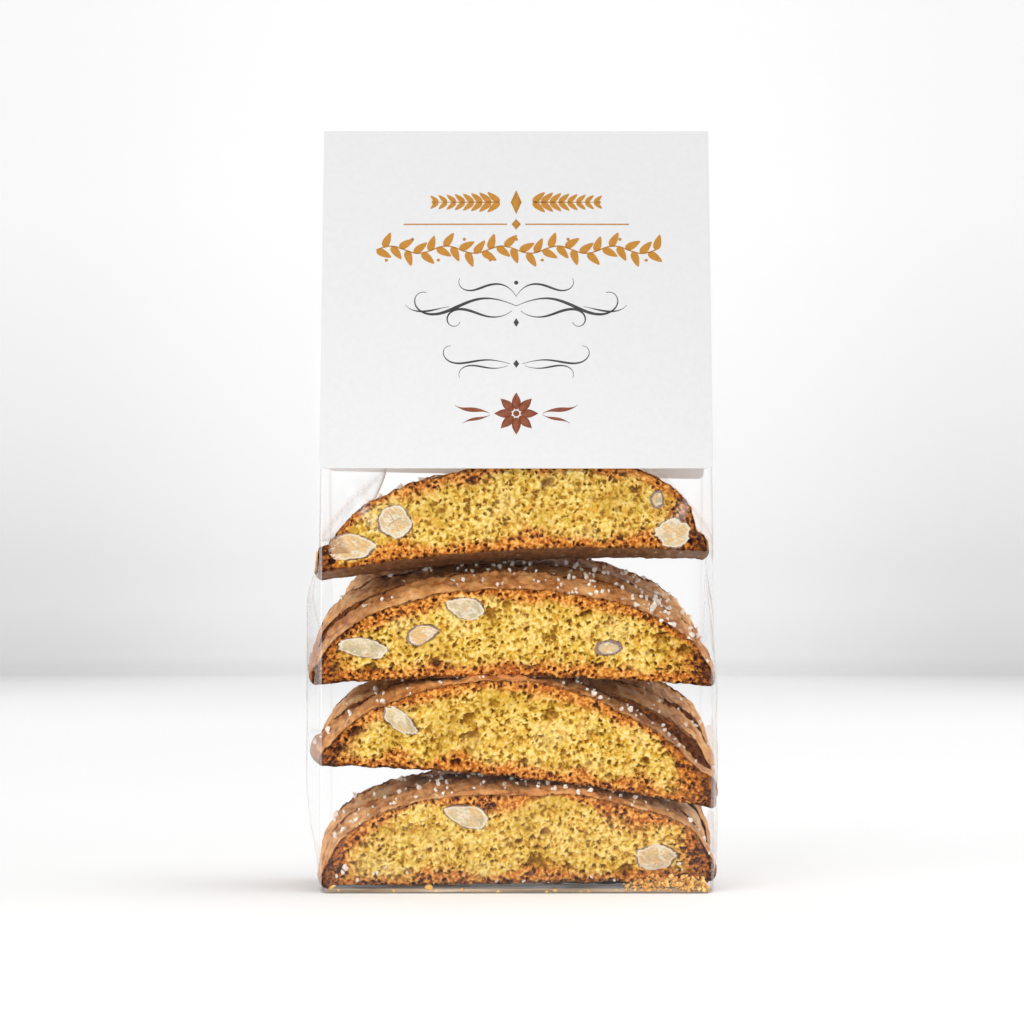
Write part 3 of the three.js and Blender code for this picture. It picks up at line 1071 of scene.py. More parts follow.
kernelKinds = {
    # share of the kernel's width where its skin starts, depth of its cracks, how much is torn brown,
    # how warm its colour is, how ragged its outline
    "plain": (0.965, 0.12, 0.0, 0.1, 0.035),
    "thin": (0.88, 0.0, 0.0, 1.0, 0.020),
    "smooth": (0.96, 0.05, 0.0, 0.45, 0.012),
    "split": (0.965, 0.22, 0.0, 0.6, 0.045),
    "jagged": (0.95, 0.12, 0.0, 0.3, 0.075),
    "fibrous": (0.97, 0.10, 0.0, 0.7, 0.050),
    "thick": (0.74, 0.0, 0.0, 0.3, 0.035),
    "torn": (0.96, 0.12, 1.0, 0.7, 0.030),
}


def kernelRim(turn, length, width, point):
    # outline of a cut kernel: round at one end, drawn out at the other
    narrow = 1 - point * np.cos(turn)
    return length / 2 * np.cos(turn), width / 2 * np.sin(turn) * narrow / (1 + 0.1 * point)


def almondKernel(cut, number, kernel):
    kernelX, kernelZ, length, width, turn, kind = kernel
    skinFrom, crackDepth, tearing, warm, ragged = kernelKinds[kind]
    chance = np.random.default_rng(cut["seed"] * 31 + number)
    steps = 96
    around = np.linspace(0, 2 * math.pi, steps + 1)[:-1]
    point = chance.uniform(0.12, 0.34) if length > width * 1.25 else 0.05
    ringX, ringZ = kernelRim(around, length, width, point)
    jag = 1 + 0 * around
    for waves in (2, 3, 4, 5, 7):
        jag = jag + 0.022 * np.sin(around * waves + chance.uniform(0, 6.28))
    scallops = int(1.1 * (length + width))
    notched = 0.5 + 0.5 * np.sin(around * 2 + chance.uniform(0, 6.28))
    scalloped = np.abs(np.sin(around * scallops / 2 + 1.1 * np.sin(around * 3 + number)))
    jag = jag - 1.5 * ragged * notched * scalloped
    bare = 0.03 * np.sin(around * 2 + chance.uniform(0, 6.28))
    bare = bare + 0.025 * np.sin(around * 5 + chance.uniform(0, 6.28))
    bite = chance.standard_normal(steps)
    bite = (np.roll(bite, 1) + 2 * bite + np.roll(bite, -1)) / 4
    jag = jag + ragged * bite
    flip = chance.choice([-1, 1])
    rays = np.array([0.5, 2.5, 3.9]) + chance.uniform(-0.3, 0.3)
    reaches = np.array([0.85, 0.8, 0.55])
    skinShares = [0.93, 0.955, 0.975, 0.99, 1.005, 1.02, 1.04]
    shares = np.concatenate([np.linspace(0.04, 0.90, 24), skinShares])
    rows = []  # x, y, z, skin, halo, crack, torn and depth in the crumb, for each ring

    def addRing(*columns):
        rows.append(np.stack([column + np.zeros(steps) for column in columns]))

    for share in shares:
        px = flip * ringX * share * jag
        pz = ringZ * share * jag
        crack = np.zeros(steps)
        for ray, end in zip(rays, reaches):
            bent = ray + 0.25 * math.sin(4 * share + ray)
            off = np.abs(-px * math.sin(bent) + pz * math.cos(bent))
            ahead = px * math.cos(bent) + pz * math.sin(bent) > 0
            crack = np.maximum(crack, ahead * (share < end) * np.exp(-((off / 0.13) ** 2)))
        crack = crack * (crackDepth > 0.2)
        offSeam = (pz + 0.1 * width + 0.3 * np.sin(px * 0.9 + number)) / 0.22
        seam = np.exp(-(offSeam**2)) * (width > 4.5) * (share < 0.93) * (kind != "split")
        facet = 0.16 * np.sin(px * 0.9 + number) * np.sin(pz * 1.1 + 2)
        facet = facet + 0.07 * np.sin(px * 3.1 + pz * 3.7)
        facet = facet + 0.12 * (np.sin(px * 0.8 + pz * 1.3 + number) > 0.3)
        raised = 0.14 * math.exp(-(((share - 1.0) / 0.03) ** 2))
        height = 0.12 - 0.30 * share**6 + facet + raised - crackDepth * (seam + 1.2 * crack)
        skin = np.clip((share - skinFrom - bare) / 0.03, 0, 1)
        torn = tearing * easeIn(-px - 0.6 * pz, 0.5, 2.5) * (pz > -1.5)
        halo = min(1, max(0, (share - 0.70) / 0.25))
        addRing(px, -(height - 0.5 * torn), pz, skin, halo, crack, torn, 0)
    for step in np.linspace(0.15, 0.93, 6):  # the rest of the kernel, inside the crumb
        reach = 1.045 * math.sqrt(1 - step**2) * jag
        addRing(flip * ringX * reach, step * 3.4, ringZ * reach, 1, 1, 0, 0, step)
    table = np.concatenate(rows, 1).T
    front = np.array([[0, -0.12, 0, 0, 0, 0, 0, 0]])
    back = np.array([[0, 3.5, 0, 1, 1, 0, 0, 1]])
    table = np.concatenate([front, table, back])
    rings = len(rows)
    faces = []
    for step in range(steps):
        after = (step + 1) % steps
        faces.append((0, 1 + step, 1 + after))
        for ring in range(rings - 1):
            low = 1 + ring * steps
            faces.append((low + step, low + steps + step, low + steps + after, low + after))
        low = 1 + (rings - 1) * steps
        faces.append((low + step, len(table) - 1, low + after))
    made = newPiece("almond", table[:, :3], faces, materials["almond"])
    for column, label in enumerate(("skin", "halo", "crack", "torn"), 3):
        setAttribute(made.data, label, table[:, column])
    setAttribute(made.data, "warm", np.full(len(table), warm))
    shape = made.data.attributes.new("kernel", "FLOAT_VECTOR", "POINT")
    flat = table[:, [0, 2, 7]] + [number * 17.3, cut["seed"] * 5.1, 0]
    shape.data.foreach_set("vector", flat.astype(np.float32).ravel())
    face = cut["thickness"] / 2 - 0.1
    if cut["shows"] > 0:
        made.data.transform(Matrix.Rotation(math.pi, 4, "Z"))
    made.data.transform(Matrix.Rotation(-math.radians(turn), 4, "Y"))
    made.data.transform(Matrix.Translation((kernelX, cut["shows"] * face, kernelZ)))
    made.data.transform(Matrix.Scale(mm, 4))
    made.data.transform(placeOf(cut))
    return made


def joinPieces(name, parts, tidyNormals=True):
    bpy.ops.object.select_all(action="DESELECT")
    for part in parts:
        part.select_set(True)
    bpy.context.view_layer.objects.active = parts[0]
    if len(parts) > 1:
        bpy.ops.object.join()
    joined = bpy.context.view_layer.objects.active
    joined.name = name
    joined.data.name = name
    if tidyNormals:
        mesh = bmesh.new()
        mesh.from_mesh(joined.data)
        bmesh.ops.recalc_face_normals(mesh, faces=mesh.faces)
        mesh.to_mesh(joined.data)
        mesh.free()
    return joined


almonds = {}
for name, cut in slices.items():
    if cut["almonds"]:
        parts = [almondKernel(cut, number, kernel) for number, kernel in enumerate(cut["almonds"])]
        almonds[name] = joinPieces("almonds_" + name, parts)
print("almonds made", len(almonds))


bag = {
    "halfWidth": 50.5,
    "halfDepth": 29,
    "shoulder": 90,  # height where the front and back panels start to lean in
    "lean": 14.8,
    "topHalfDepth": 1.2,
    "cornerRadius": 0.9,
    "baseRounding": 1.2,
    "filmThickness": 0.05,
    "dust": 0.12,  # crumb dust on the lower part of the front and back panel
    "frontStreak": 1.1,  # how white the upright edges look, as creases do
    "backStreak": 0.35,
    "stepsAcross": 56,
    "stepsSide": 30,
    "stepsCorner": 5,
}
bulges = {
    "left": {"reach": 4.7, "rise": 28, "fall": 74, "end": 92},
    "right": {"reach": 2.5, "rise": 12, "fall": 50, "end": 84},
}
lean = math.radians(bag["lean"])
apex = bag["shoulder"] + bag["halfDepth"] / math.tan(lean)  # where the leaning panels would meet
bagTop = apex - bag["topHalfDepth"] / math.tan(lean)
middleX = (bulges["left"]["reach"] - bulges["right"]["reach"]) / 2


def halfDepthAt(z):
    return np.where(z < bag["shoulder"], bag["halfDepth"], (apex - z) * math.tan(lean))


def bulgeAt(z, side):
    rising = np.sin(math.pi / 2 * np.minimum(1, z / side["rise"]))
    return side["reach"] * rising * easeIn(side["end"] - z, 0, side["end"] - side["fall"])


# Creases in the film: which panel, where they start and end, width, height. A place is how far along
# the panel, from -1 to 1, and how high.
creases = {
    "sides": [
        (-1, (-0.98, 88.0), (0.0, 110.0), 1.0, 0.45), (-1, (-0.95, 62.0), (-0.15, 86.0), 0.7, 0.35),
        (-1, (-0.9, 30.0), (0.1, 52.0), 0.6, 0.25), (-1, (0.95, 60.0), (0.1, 84.0), 0.8, 0.3),
        (-1, (0.98, 88.0), (0.0, 110.0), 1.0, 0.45), (-1, (0.0, 2.0), (0.0, 90.0), 0.7, 0.35),
        (1, (-0.98, 90.0), (0.0, 112.0), 1.0, 0.45), (1, (-0.92, 66.0), (-0.1, 84.0), 0.8, 0.35),
        (1, (-0.9, 20.0), (0.0, 48.0), 0.6, 0.3), (1, (0.95, 66.0), (0.15, 88.0), 0.8, 0.3),
        (1, (0.98, 90.0), (0.0, 112.0), 1.0, 0.45), (1, (0.0, 2.0), (0.0, 90.0), 0.7, 0.35),
    ],
    "panels": [
        (-1, (-0.9, 106.0), (-0.72, 93.0), 0.8, 0.25), (-1, (0.92, 104.0), (0.80, 92.0), 0.8, 0.25),
        (1, (-0.85, 107.0), (-0.70, 90.0), 0.8, 0.25), (1, (0.6, 106.0), (0.75, 88.0), 0.8, 0.25),
    ],
}


def creaseAt(lines, facing, along, z, halfSpan):
    # how near each point of a panel is to a crease, from 0 to 1
    near = np.zeros_like(z)
    lift = np.zeros_like(z)
    for panel, start, end, width, height in lines:
        if panel != facing:
            continue
        ax, az = start[0] * halfSpan, start[1]
        bx, bz = end[0] * halfSpan, end[1]
        run = (bx - ax) ** 2 + (bz - az) ** 2
        share = np.clip(((along * halfSpan - ax) * (bx - ax) + (z - az) * (bz - az)) / run, 0, 1)
        off = np.hypot(along * halfSpan - ax - share * (bx - ax), z - az - share * (bz - az))
        strength = np.exp(-((off / width) ** 2)) * np.sin(math.pi * np.clip(share, 0.08, 0.92)) ** 0.5
        near = np.maximum(near, strength)
        lift = lift + height * strength
    return near, lift


def filmRing(heights, inset):
    # points round the bag at each height, with how strongly each is creased
    rows = heights[:, None]
    halfDepth = halfDepthAt(rows) - inset[:, None]
    halfWidth = bag["halfWidth"] - inset[:, None]
    radius = np.minimum(bag["cornerRadius"], halfDepth / 2)
    tuck = np.sqrt(np.maximum(0, bag["halfDepth"] ** 2 - halfDepthAt(rows) ** 2))
    loose = easeIn(rows, 2, 14) * (1 - 0.85 * easeIn(rows, 100, 112))
    xs, ys, near = [], [], []

    def addSide(facing):
        side = bulges["right" if facing > 0 else "left"]
        reach = halfDepth - radius
        order = np.linspace(-1, 1, bag["stepsSide"] + 1)[None, 1:-1] * facing
        z = rows + 0 * order
        crease, lift = creaseAt(creases["sides"], facing, order, z, bag["halfDepth"])
        slack = 0.35 * loose * ripple(order * 29, z, 5 + facing) * (1 - order**2)
        fold = bulgeAt(rows, side) * (1 - order**2) - tuck * (1 - np.abs(order))
        out = halfWidth + fold + lift * (1 - np.abs(order)) - 0.3 * loose * (1 - order**2) + slack
        sideCrease = np.maximum(crease, easeIn(np.abs(order), 0.12, 0.0) * easeIn(rows, 88, 96))
        xs.append(facing * out)
        ys.append(order * reach)
        near.append(sideCrease)

    def addCorner(facingX, facingY, turns):
        angle = np.array(turns)[None]
        reach = halfDepth - radius
        xs.append(facingX * (halfWidth - radius + radius * np.sin(angle)))
        ys.append(facingY * (reach + radius * np.cos(angle)))
        streak = bag["frontStreak" if facingY < 0 else "backStreak"]
        near.append(streak * np.sin(2 * angle) + 0 * rows)

    def addPanel(facing):
        order = np.linspace(-1, 1, bag["stepsAcross"] + 1)[None, 1:-1] * -facing
        z = rows + 0 * order
        crease, lift = creaseAt(creases["panels"], facing, order, z, bag["halfWidth"])
        slack = 0.22 * loose * ripple(order * 50, z, 9 + facing) * (1 - order**2)
        xs.append(order * (halfWidth - radius))
        ys.append(facing * (halfDepth + slack - 0.3 * loose * (1 - order**4) - lift * 0.5))
        dust = bag["dust"] * easeIn(-z, -36, -8) * (0.7 + 0.3 * ripple(order * 50, z, 21))
        near.append(np.maximum(crease, dust))

    quarter = np.linspace(0, math.pi / 2, bag["stepsCorner"] + 1)
    addCorner(1, -1, quarter)
    addSide(1)
    addCorner(1, 1, quarter[::-1])
    addPanel(1)
    addCorner(-1, 1, quarter)
    addSide(-1)
    addCorner(-1, -1, quarter[::-1])
    addPanel(-1)
    return np.concatenate(xs, 1), np.concatenate(ys, 1), np.concatenate([n + 0 * rows for n in near], 1)


def bagFilm():
    rounding = bag["baseRounding"]
    low = rounding * (1 - np.cos(np.linspace(0, math.pi / 2, 5)))
    upright = np.linspace(2.2, 88, 62)
    leaning = np.linspace(89, 112, 26)
    heights = np.concatenate([low, upright, leaning, np.linspace(115, bagTop, 26)])
    below = np.maximum(0, rounding - heights)
    inset = rounding - np.sqrt(rounding**2 - below**2)
    x, y, near = filmRing(heights, inset)
    count = x.shape[1]
    rows = [np.stack([x[row], y[row], np.full(count, heights[row])], 1) for row in range(len(heights))]
    creased = [near[row] for row in range(len(heights))]
    shrink = np.linspace(0.06, 1, 16)
    baseWidth = bag["halfWidth"] - rounding
    baseDepth = bag["halfDepth"] - rounding
    for share in shrink:  # the block bottom, closed to a line, with its folded flaps
        inner = share * baseDepth
        px = x[0] * (baseWidth - inner) / baseWidth
        py = y[0] * (1 - share)
        flap = 0.12 * np.sin(share * math.pi) * (0.5 + 0.5 * np.sin(px * 0.32 + 1.0))
        rows.insert(0, np.stack([px, py, flap], 1))
        diagonal = np.exp(-(((np.abs(px) - (baseWidth - np.abs(baseDepth - np.abs(py)))) / 1.2) ** 2))
        creased.insert(0, np.clip(0.6 * np.exp(-((py / 1.0) ** 2)) + 0.5 * diagonal, 0, 1))
    flat = rows[-1].copy()
    flat[:, 1] = 0
    flat[:, 2] = bagTop + 0.6
    rows.append(flat)
    creased.append(creased[-1])
    points = np.concatenate(rows)
    points[:, 0] += middleX
    levels = len(rows)
    faces = []
    for level in range(levels - 1):
        for step in range(count):
            after = (step + 1) % count
            lower = level * count
            faces.append((lower + step, lower + after, lower + count + after, lower + count + step))
    film = newPiece("film", points * mm, faces, materials["film"])
    setAttribute(film.data, "crease", np.concatenate(creased))
    mesh = bmesh.new()
    mesh.from_mesh(film.data)
    bmesh.ops.remove_doubles(mesh, verts=mesh.verts, dist=2e-6)
    bmesh.ops.dissolve_degenerate(mesh, edges=mesh.edges, dist=1e-7)
    bmesh.ops.recalc_face_normals(mesh, faces=mesh.faces)
    mesh.to_mesh(film.data)
    mesh.free()
    addWall(film, "wall", bag["filmThickness"])
    return film


film = bagFilm()
print("film made", len(film.data.polygons))

baseFolds = {
    "halfWidth": 49.0,
    "halfDepth": 28.3,
    "lipHeight": 2.0,  # the folded edge that stands up inside the front and back panel
    "lipFrom": 1.5,  # how far inside the panel it stands
    "lipWidth": 0.8,
    "columns": 100,
    "rows": 48,
}


foldColours = {
    "flatDark": (0.24, 0.16, 0.10),
    "flatTan": (0.46, 0.34, 0.24),
    "flatPale": (0.78, 0.66, 0.54),
    "lipShadowDark": (0.02, 0.022, 0.028),
    "lipShadowPale": (0.26, 0.27, 0.30),
}


def foldsMaterial():
    material, tree, shader = newMaterial("filmFolds")
    place = objectPlace(tree)
    drawn = stretch(tree, place, (45.0, 500.0, 900.0))
    streaks = cloud(tree, drawn, 1.0, 4.0, 0.6)
    flat = ramp(
        tree,
        streaks,
        (0.32, foldColours["flatDark"]),
        (0.72, foldColours["flatPale"]),
        (0.50, foldColours["flatTan"]),
    )
    # the standing lip is painted near black and bluish: painted shadow of the gap under the slices and
    # its reflection in the film
    stoodShade = ramp(tree, streaks, (0.36, foldColours["lipShadowDark"]), (0.78, foldColours["lipShadowPale"]))
    high = split(tree, place)["Z"]
    colour = blend(tree, smooth(tree, high, 0.0009, 0.0015), flat, stoodShade)
    feed(tree, shader.inputs["Base Color"], colour)
    feed(tree, shader.inputs["Roughness"], add(tree, 0.18, multiply(tree, streaks, 0.3)))
    shader.inputs["Specular IOR Level"].default_value = 0.15
    addBump(tree, shader, streaks, 0.0002, 0.8)
    return material


def bottomFolds():
    # layers of film folded flat inside the bottom, with a lip along the front and the back
    columns = np.linspace(-1, 1, baseFolds["columns"])
    rows = np.sin(np.linspace(-math.pi / 2, math.pi / 2, baseFolds["rows"]))
    x, y = np.meshgrid(columns * baseFolds["halfWidth"], rows * baseFolds["halfDepth"])
    fromEdge = baseFolds["halfDepth"] - np.abs(y)
    fromLip = (fromEdge - baseFolds["lipFrom"]) / baseFolds["lipWidth"]
    lip = np.exp(-(fromLip**2)) * (0.8 + 0.25 * ripple(x * 0.7, y, 31))
    ends = easeIn(baseFolds["halfWidth"] - np.abs(x), 0, 2)
    height = 0.3 + baseFolds["lipHeight"] * lip * ends + 0.25 * (0.6 + ripple(x, y * 2, 32))
    points = np.stack([x + middleX, y, np.clip(height, 0.15, None)], -1).reshape(-1, 3)
    faces = gridFaces(baseFolds["rows"], baseFolds["columns"])
    folds = newPiece("film_base", points * mm, faces, foldsMaterial())
    addWall(folds, "wall", bag["filmThickness"])
    return folds


folds = bottomFolds()

header = {
    "width": 101.5,
    "thickness": 0.45,
    "gap": 0.3,
    "foldRadius": 1.3,
    "frontLength": 92.2,
    "backLengthLeft": 91,
    "backLengthRight": 93.2,
    "cornerRadius": 1.7,
    "bow": 0.45,  # how far the middle of a panel stands off the film
    "cornerLift": 0.35,
}
foldHalf = header["foldRadius"] * (math.pi / 2 - lean)


def cardPoints(x, along, depth):
    # points of the flat sheet bent over the fold: x across, along from the middle of the fold, and
    # depth inwards
    reach = np.abs(along)
    beyond = np.maximum(0, reach - foldHalf)
    turn = np.minimum(reach, foldHalf) / foldHalf * (math.pi / 2 - lean)
    facing = np.where(along < 0, -1, 1)
    across = x / (header["width"] / 2)
    down = beyond / header["frontLength"]
    bow = header["bow"] * (1 - across**2) * np.sin(math.pi * np.clip(down, 0, 1) * 0.8)
    corner = header["cornerLift"] * across**4 * np.clip(down, 0, 1.05) ** 6
    radius = header["foldRadius"] - depth + bow + corner
    centre = apex + (header["gap"] + header["thickness"] - header["foldRadius"]) / math.sin(lean)
    y = facing * (radius * np.sin(turn) + beyond * math.sin(lean))
    z = centre + radius * np.cos(turn) - beyond * math.cos(lean)
    return np.stack([x + middleX, y, z], -1)


def headerCard():
    corner = header["cornerRadius"]
    arc = corner * (1 - np.cos(np.linspace(0, math.pi / 2, 6)))
    columns = np.linspace(-1, 1, 41)
    backLength = np.interp(columns, [-1, 1], [header["backLengthLeft"], header["backLengthRight"]])
    rows = []
    insetAt = corner - np.sqrt(np.maximum(0, corner**2 - np.maximum(0, corner - arc) ** 2))
    frontEnd = foldHalf + header["frontLength"]
    for fromEdge, inset in zip(arc, insetAt):
        rows.append((fromEdge - frontEnd + 0 * columns, inset))
    for share in np.linspace(0, 1, 45)[1:-1]:
        rows.append(((corner - frontEnd) * (1 - share) - foldHalf * share + 0 * columns, 0))
    for along in np.linspace(-foldHalf, foldHalf, 17):
        rows.append((along + 0 * columns, 0))
    for share in np.linspace(0, 1, 45)[1:-1]:
        rows.append((foldHalf * (1 - share) + (foldHalf + backLength - corner) * share, 0))
    for fromEdge, inset in list(zip(arc, insetAt))[::-1]:
        rows.append((foldHalf + backLength - fromEdge, inset))
    layers = []
    for depth in (0, header["thickness"]):
        for along, inset in rows:
            x = columns * (header["width"] / 2 - inset)
            layers.append(cardPoints(x, along, depth + 0 * columns))
    points = np.concatenate(layers)
    width = len(columns)
    size = len(rows) * width
    outside = gridFaces(len(rows), width)
    faces = outside + [(size + a, size + d, size + c, size + b) for a, b, c, d in outside]
    edge = list(range(width))
    edge += [row * width + width - 1 for row in range(1, len(rows))]
    edge += [(len(rows) - 1) * width + column for column in range(width - 2, -1, -1)]
    edge += [row * width for row in range(len(rows) - 2, 0, -1)]
    for here, after in zip(edge, edge[1:] + edge[:1]):
        faces.append((after, here, size + here, size + after))
    card = newPiece("card", points * mm, faces, materials["card"])
    card.data.set_sharp_from_angle(angle=math.radians(40))
    return card


card = headerCard()
print("card made")

ornament = {
    "centre": 1.1,
    "upperSprig": {
        "height": 19.2, "from": 4.4, "to": 20.5, "leaves": 8, "leaf": (4.2, 1.6), "angle": 42,
        "lozenge": 3.4, "berry": 0.5,
    },
    "lowerVine": {
        "height": 32.5, "reach": 36.5, "waves": 5, "leaves": 38, "leaf": (4.4, 1.9), "angle": 52,
        "stem": 0.36, "berry": 0.42, "berries": 5, "berryStep": 0.186, "berryOffset": 2.9,
    },
    "rule": {"height": 25.4, "from": 2.4, "reach": 29.5, "width": 0.36, "lozenge": 1.5},
    "rosette": {"height": 77.5, "petals": 8, "petalFrom": 1.1, "length": 4.6, "width": 2.3},
    # pen lines: start, heading, length, bends, thinnest and thickest width, steps
    "scrollHeight": 46.5,
    "scrolls": [
        ((0, 1.6), -24, 34, (0.02, 0.10, -0.02, -0.22, -0.55), (0.16, 0.85), 60),
        ((1.2, 3.0), 40, 24, (-0.16, -0.12, 0.10, 0.42, 0.75), (0.14, 0.7), 60),
        ((0, -1.0), -60, 19, (0.10, 0.22, 0.05, -0.30, -0.60), (0.12, 0.6), 60),
        ((17.5, 1.8), 10, 12, (0.05, -0.08, -0.30), (0.1, 0.5), 40),
    ],
    "smallScrollHeight": 64.0,
    "smallScrolls": [
        ((1.6, 0), -16, 22, (0.01, 0.09, -0.03, -0.30, -0.75), (0.12, 0.55), 60),
        ((2.2, 0.5), 24, 15, (-0.14, -0.08, 0.20, 0.65), (0.1, 0.45), 60),
    ],
    "tendrils": [
        ((6.8, 0), -30, 9.5, (0.20, -0.02, -0.30), (0.1, 1.2), 30),
        ((6.8, 0.4), 30, 7.5, (-0.20, 0.02, 0.32), (0.1, 0.8), 30),
    ],
}


def leafTree():
    # pairs of leaves along a path, on the flat of the card: x across, y down
    tree, given, result = newTree(
        "leafRow",
        "GeometryNodeTree",
        {
            "Geometry": ("Geometry", None),
            "Count": ("Int", 9),
            "Leaf Length": ("Float", 4.0),
            "Leaf Width": ("Float", 1.6),
            "Leaf Angle": ("Float", 0.8),
            "Taper": ("Float", 0.4),
            "Alternate": ("Float", 0.0),
            "Material": ("Material", None),
        },
        {"Geometry": ("Geometry", None)},
    )
    path = addNode(tree, "GeometryNodeMeshToCurve", {"Mesh": given["Geometry"]}).outputs[0]
    spacing = {"Curve": path, "Count": given["Count"]}
    steps = addNode(tree, "GeometryNodeCurveToPoints", spacing, mode="COUNT")
    number = addNode(tree, "GeometryNodeInputIndex").outputs[0]
    share = maths(tree, "DIVIDE", number, subtract(tree, given["Count"], 1.0))
    tangent = split(tree, steps.outputs["Tangent"])
    heading = maths(tree, "ARCTAN2", tangent["Y"], tangent["X"])
    odd = maths(tree, "MODULO", number, 2.0)
    circle = {"Vertices": 20, "Radius": 1.0}
    blank = addNode(tree, "GeometryNodeMeshCircle", circle, fill_type="NGON").outputs[0]
    spot = split(tree, pointPlace(tree))
    along = multiply(tree, add(tree, spot["X"], 1.0), 0.5)
    fuller = subtract(tree, 1.0, multiply(tree, spot["X"], 0.45))
    halfWide = multiply(tree, given["Leaf Width"], 0.5)
    long = multiply(tree, along, given["Leaf Length"])
    wide = multiply(tree, spot["Y"], fuller, halfWide)
    shaped = {"Geometry": blank, "Position": combine(tree, X=long, Y=wide)}
    leaf = addNode(tree, "GeometryNodeSetPosition", shaped).outputs[0]
    rows = addNode(tree, "GeometryNodeJoinGeometry")
    for side in (1.0, -1.0):
        turned = add(tree, heading, multiply(tree, given["Leaf Angle"], side))
        turn = addNode(tree, "FunctionNodeEulerToRotation", {0: combine(tree, Z=turned)}).outputs[0]
        other = odd if side > 0 else subtract(tree, 1.0, odd)
        here = subtract(tree, 1.0, multiply(tree, given["Alternate"], other))
        size = multiply(tree, subtract(tree, 1.0, multiply(tree, given["Taper"], share)), here)
        shown = addNode(
            tree,
            "GeometryNodeInstanceOnPoints",
            {
                "Points": steps.outputs["Points"],
                "Selection": maths(tree, "GREATER_THAN", here, 0.5),
                "Instance": leaf,
                "Rotation": turn,
                "Scale": size,
            },
        )
        tree.links.new(shown.outputs[0], rows.inputs[0])
    finishTree(tree, result, rows.outputs[0], given["Material"])
    return tree


leafRow = leafTree()


def leavesAlong(path, spec, taper, alternate, material):
    points = [(x, y, 0) for x, y in path]
    mesh = bpy.data.meshes.new("path")
    mesh.from_pydata(points, [(n, n + 1) for n in range(len(points) - 1)], [])
    piece = showData("path", mesh)
    values = {
        "Count": spec["leaves"],
        "Leaf Length": spec["leaf"][0],
        "Leaf Width": spec["leaf"][1],
        "Leaf Angle": math.radians(spec["angle"]),
        "Taper": taper,
        "Alternate": alternate,
        "Material": material,
    }
    bakeTree(piece, leafRow, values)
    return piece


def stroke(path, widths, material):
    # a flat pen line through the points, thick where widths says
    path = np.array(path, float)
    ahead = np.gradient(path, axis=0)
    ahead /= np.linalg.norm(ahead, axis=1)[:, None]
    side = np.stack([-ahead[:, 1], ahead[:, 0]], 1) * np.array(widths)[:, None] / 2
    points = [(*point, 0) for pair in zip(path - side, path + side) for point in pair]
    faces = [(2 * n, 2 * n + 2, 2 * n + 3, 2 * n + 1) for n in range(len(path) - 1)]
    return newPiece("stroke", points, faces, material)


def swash(start, heading, length, bends, mirror, steps):
    # a pen path whose bend, in radians a millimetre, changes evenly from one value to the next
    share = np.linspace(0, 1, steps)
    bend = np.interp(share, np.linspace(0, 1, len(bends)), bends)
    turn = math.radians(heading) + np.concatenate([[0], np.cumsum(bend[:-1]) * length / (steps - 1)])
    x = start[0] + np.concatenate([[0], np.cumsum(np.cos(turn[:-1])) * length / (steps - 1)])
    y = start[1] + np.concatenate([[0], np.cumsum(np.sin(turn[:-1])) * length / (steps - 1)])
    return np.stack([ornament["centre"] + mirror * x, y], 1)


def penLines(lines, height, mirror, material):
    made = []
    for (x, y), heading, length, bends, (thin, thick), steps in lines:
        path = swash((x, height + y), heading, length, bends, mirror, steps)
        swell = np.sin(math.pi * np.linspace(0, 1, steps)) ** 2
        made.append(stroke(path, thin + (thick - thin) * swell, material))
    return made


def disc(x, y, radius, material, corners=20, squeeze=1.0):
    turns = np.linspace(0, 2 * math.pi, corners + 1)[:-1]
    points = [(x + radius * squeeze * math.cos(turn), y + radius * math.sin(turn), 0) for turn in turns]
    return newPiece("dot", points, [tuple(range(corners))], material)


def layOnCard(name, parts, lift):
    joined = joinPieces(name, parts)
    flat = pointsOf(joined.data)
    placed = cardPoints(flat[:, 0] - middleX, -(foldHalf + flat[:, 1]), np.full(len(flat), -lift)) * mm
    joined.data.vertices.foreach_set("co", placed.astype(np.float32).ravel())
    mesh = bmesh.new()
    mesh.from_mesh(joined.data)
    for face in mesh.faces:
        if face.normal.y > 0:
            face.normal_flip()
    mesh.to_mesh(joined.data)
    mesh.free()
    addWall(joined, "ink", lift - 0.005)
    return joined


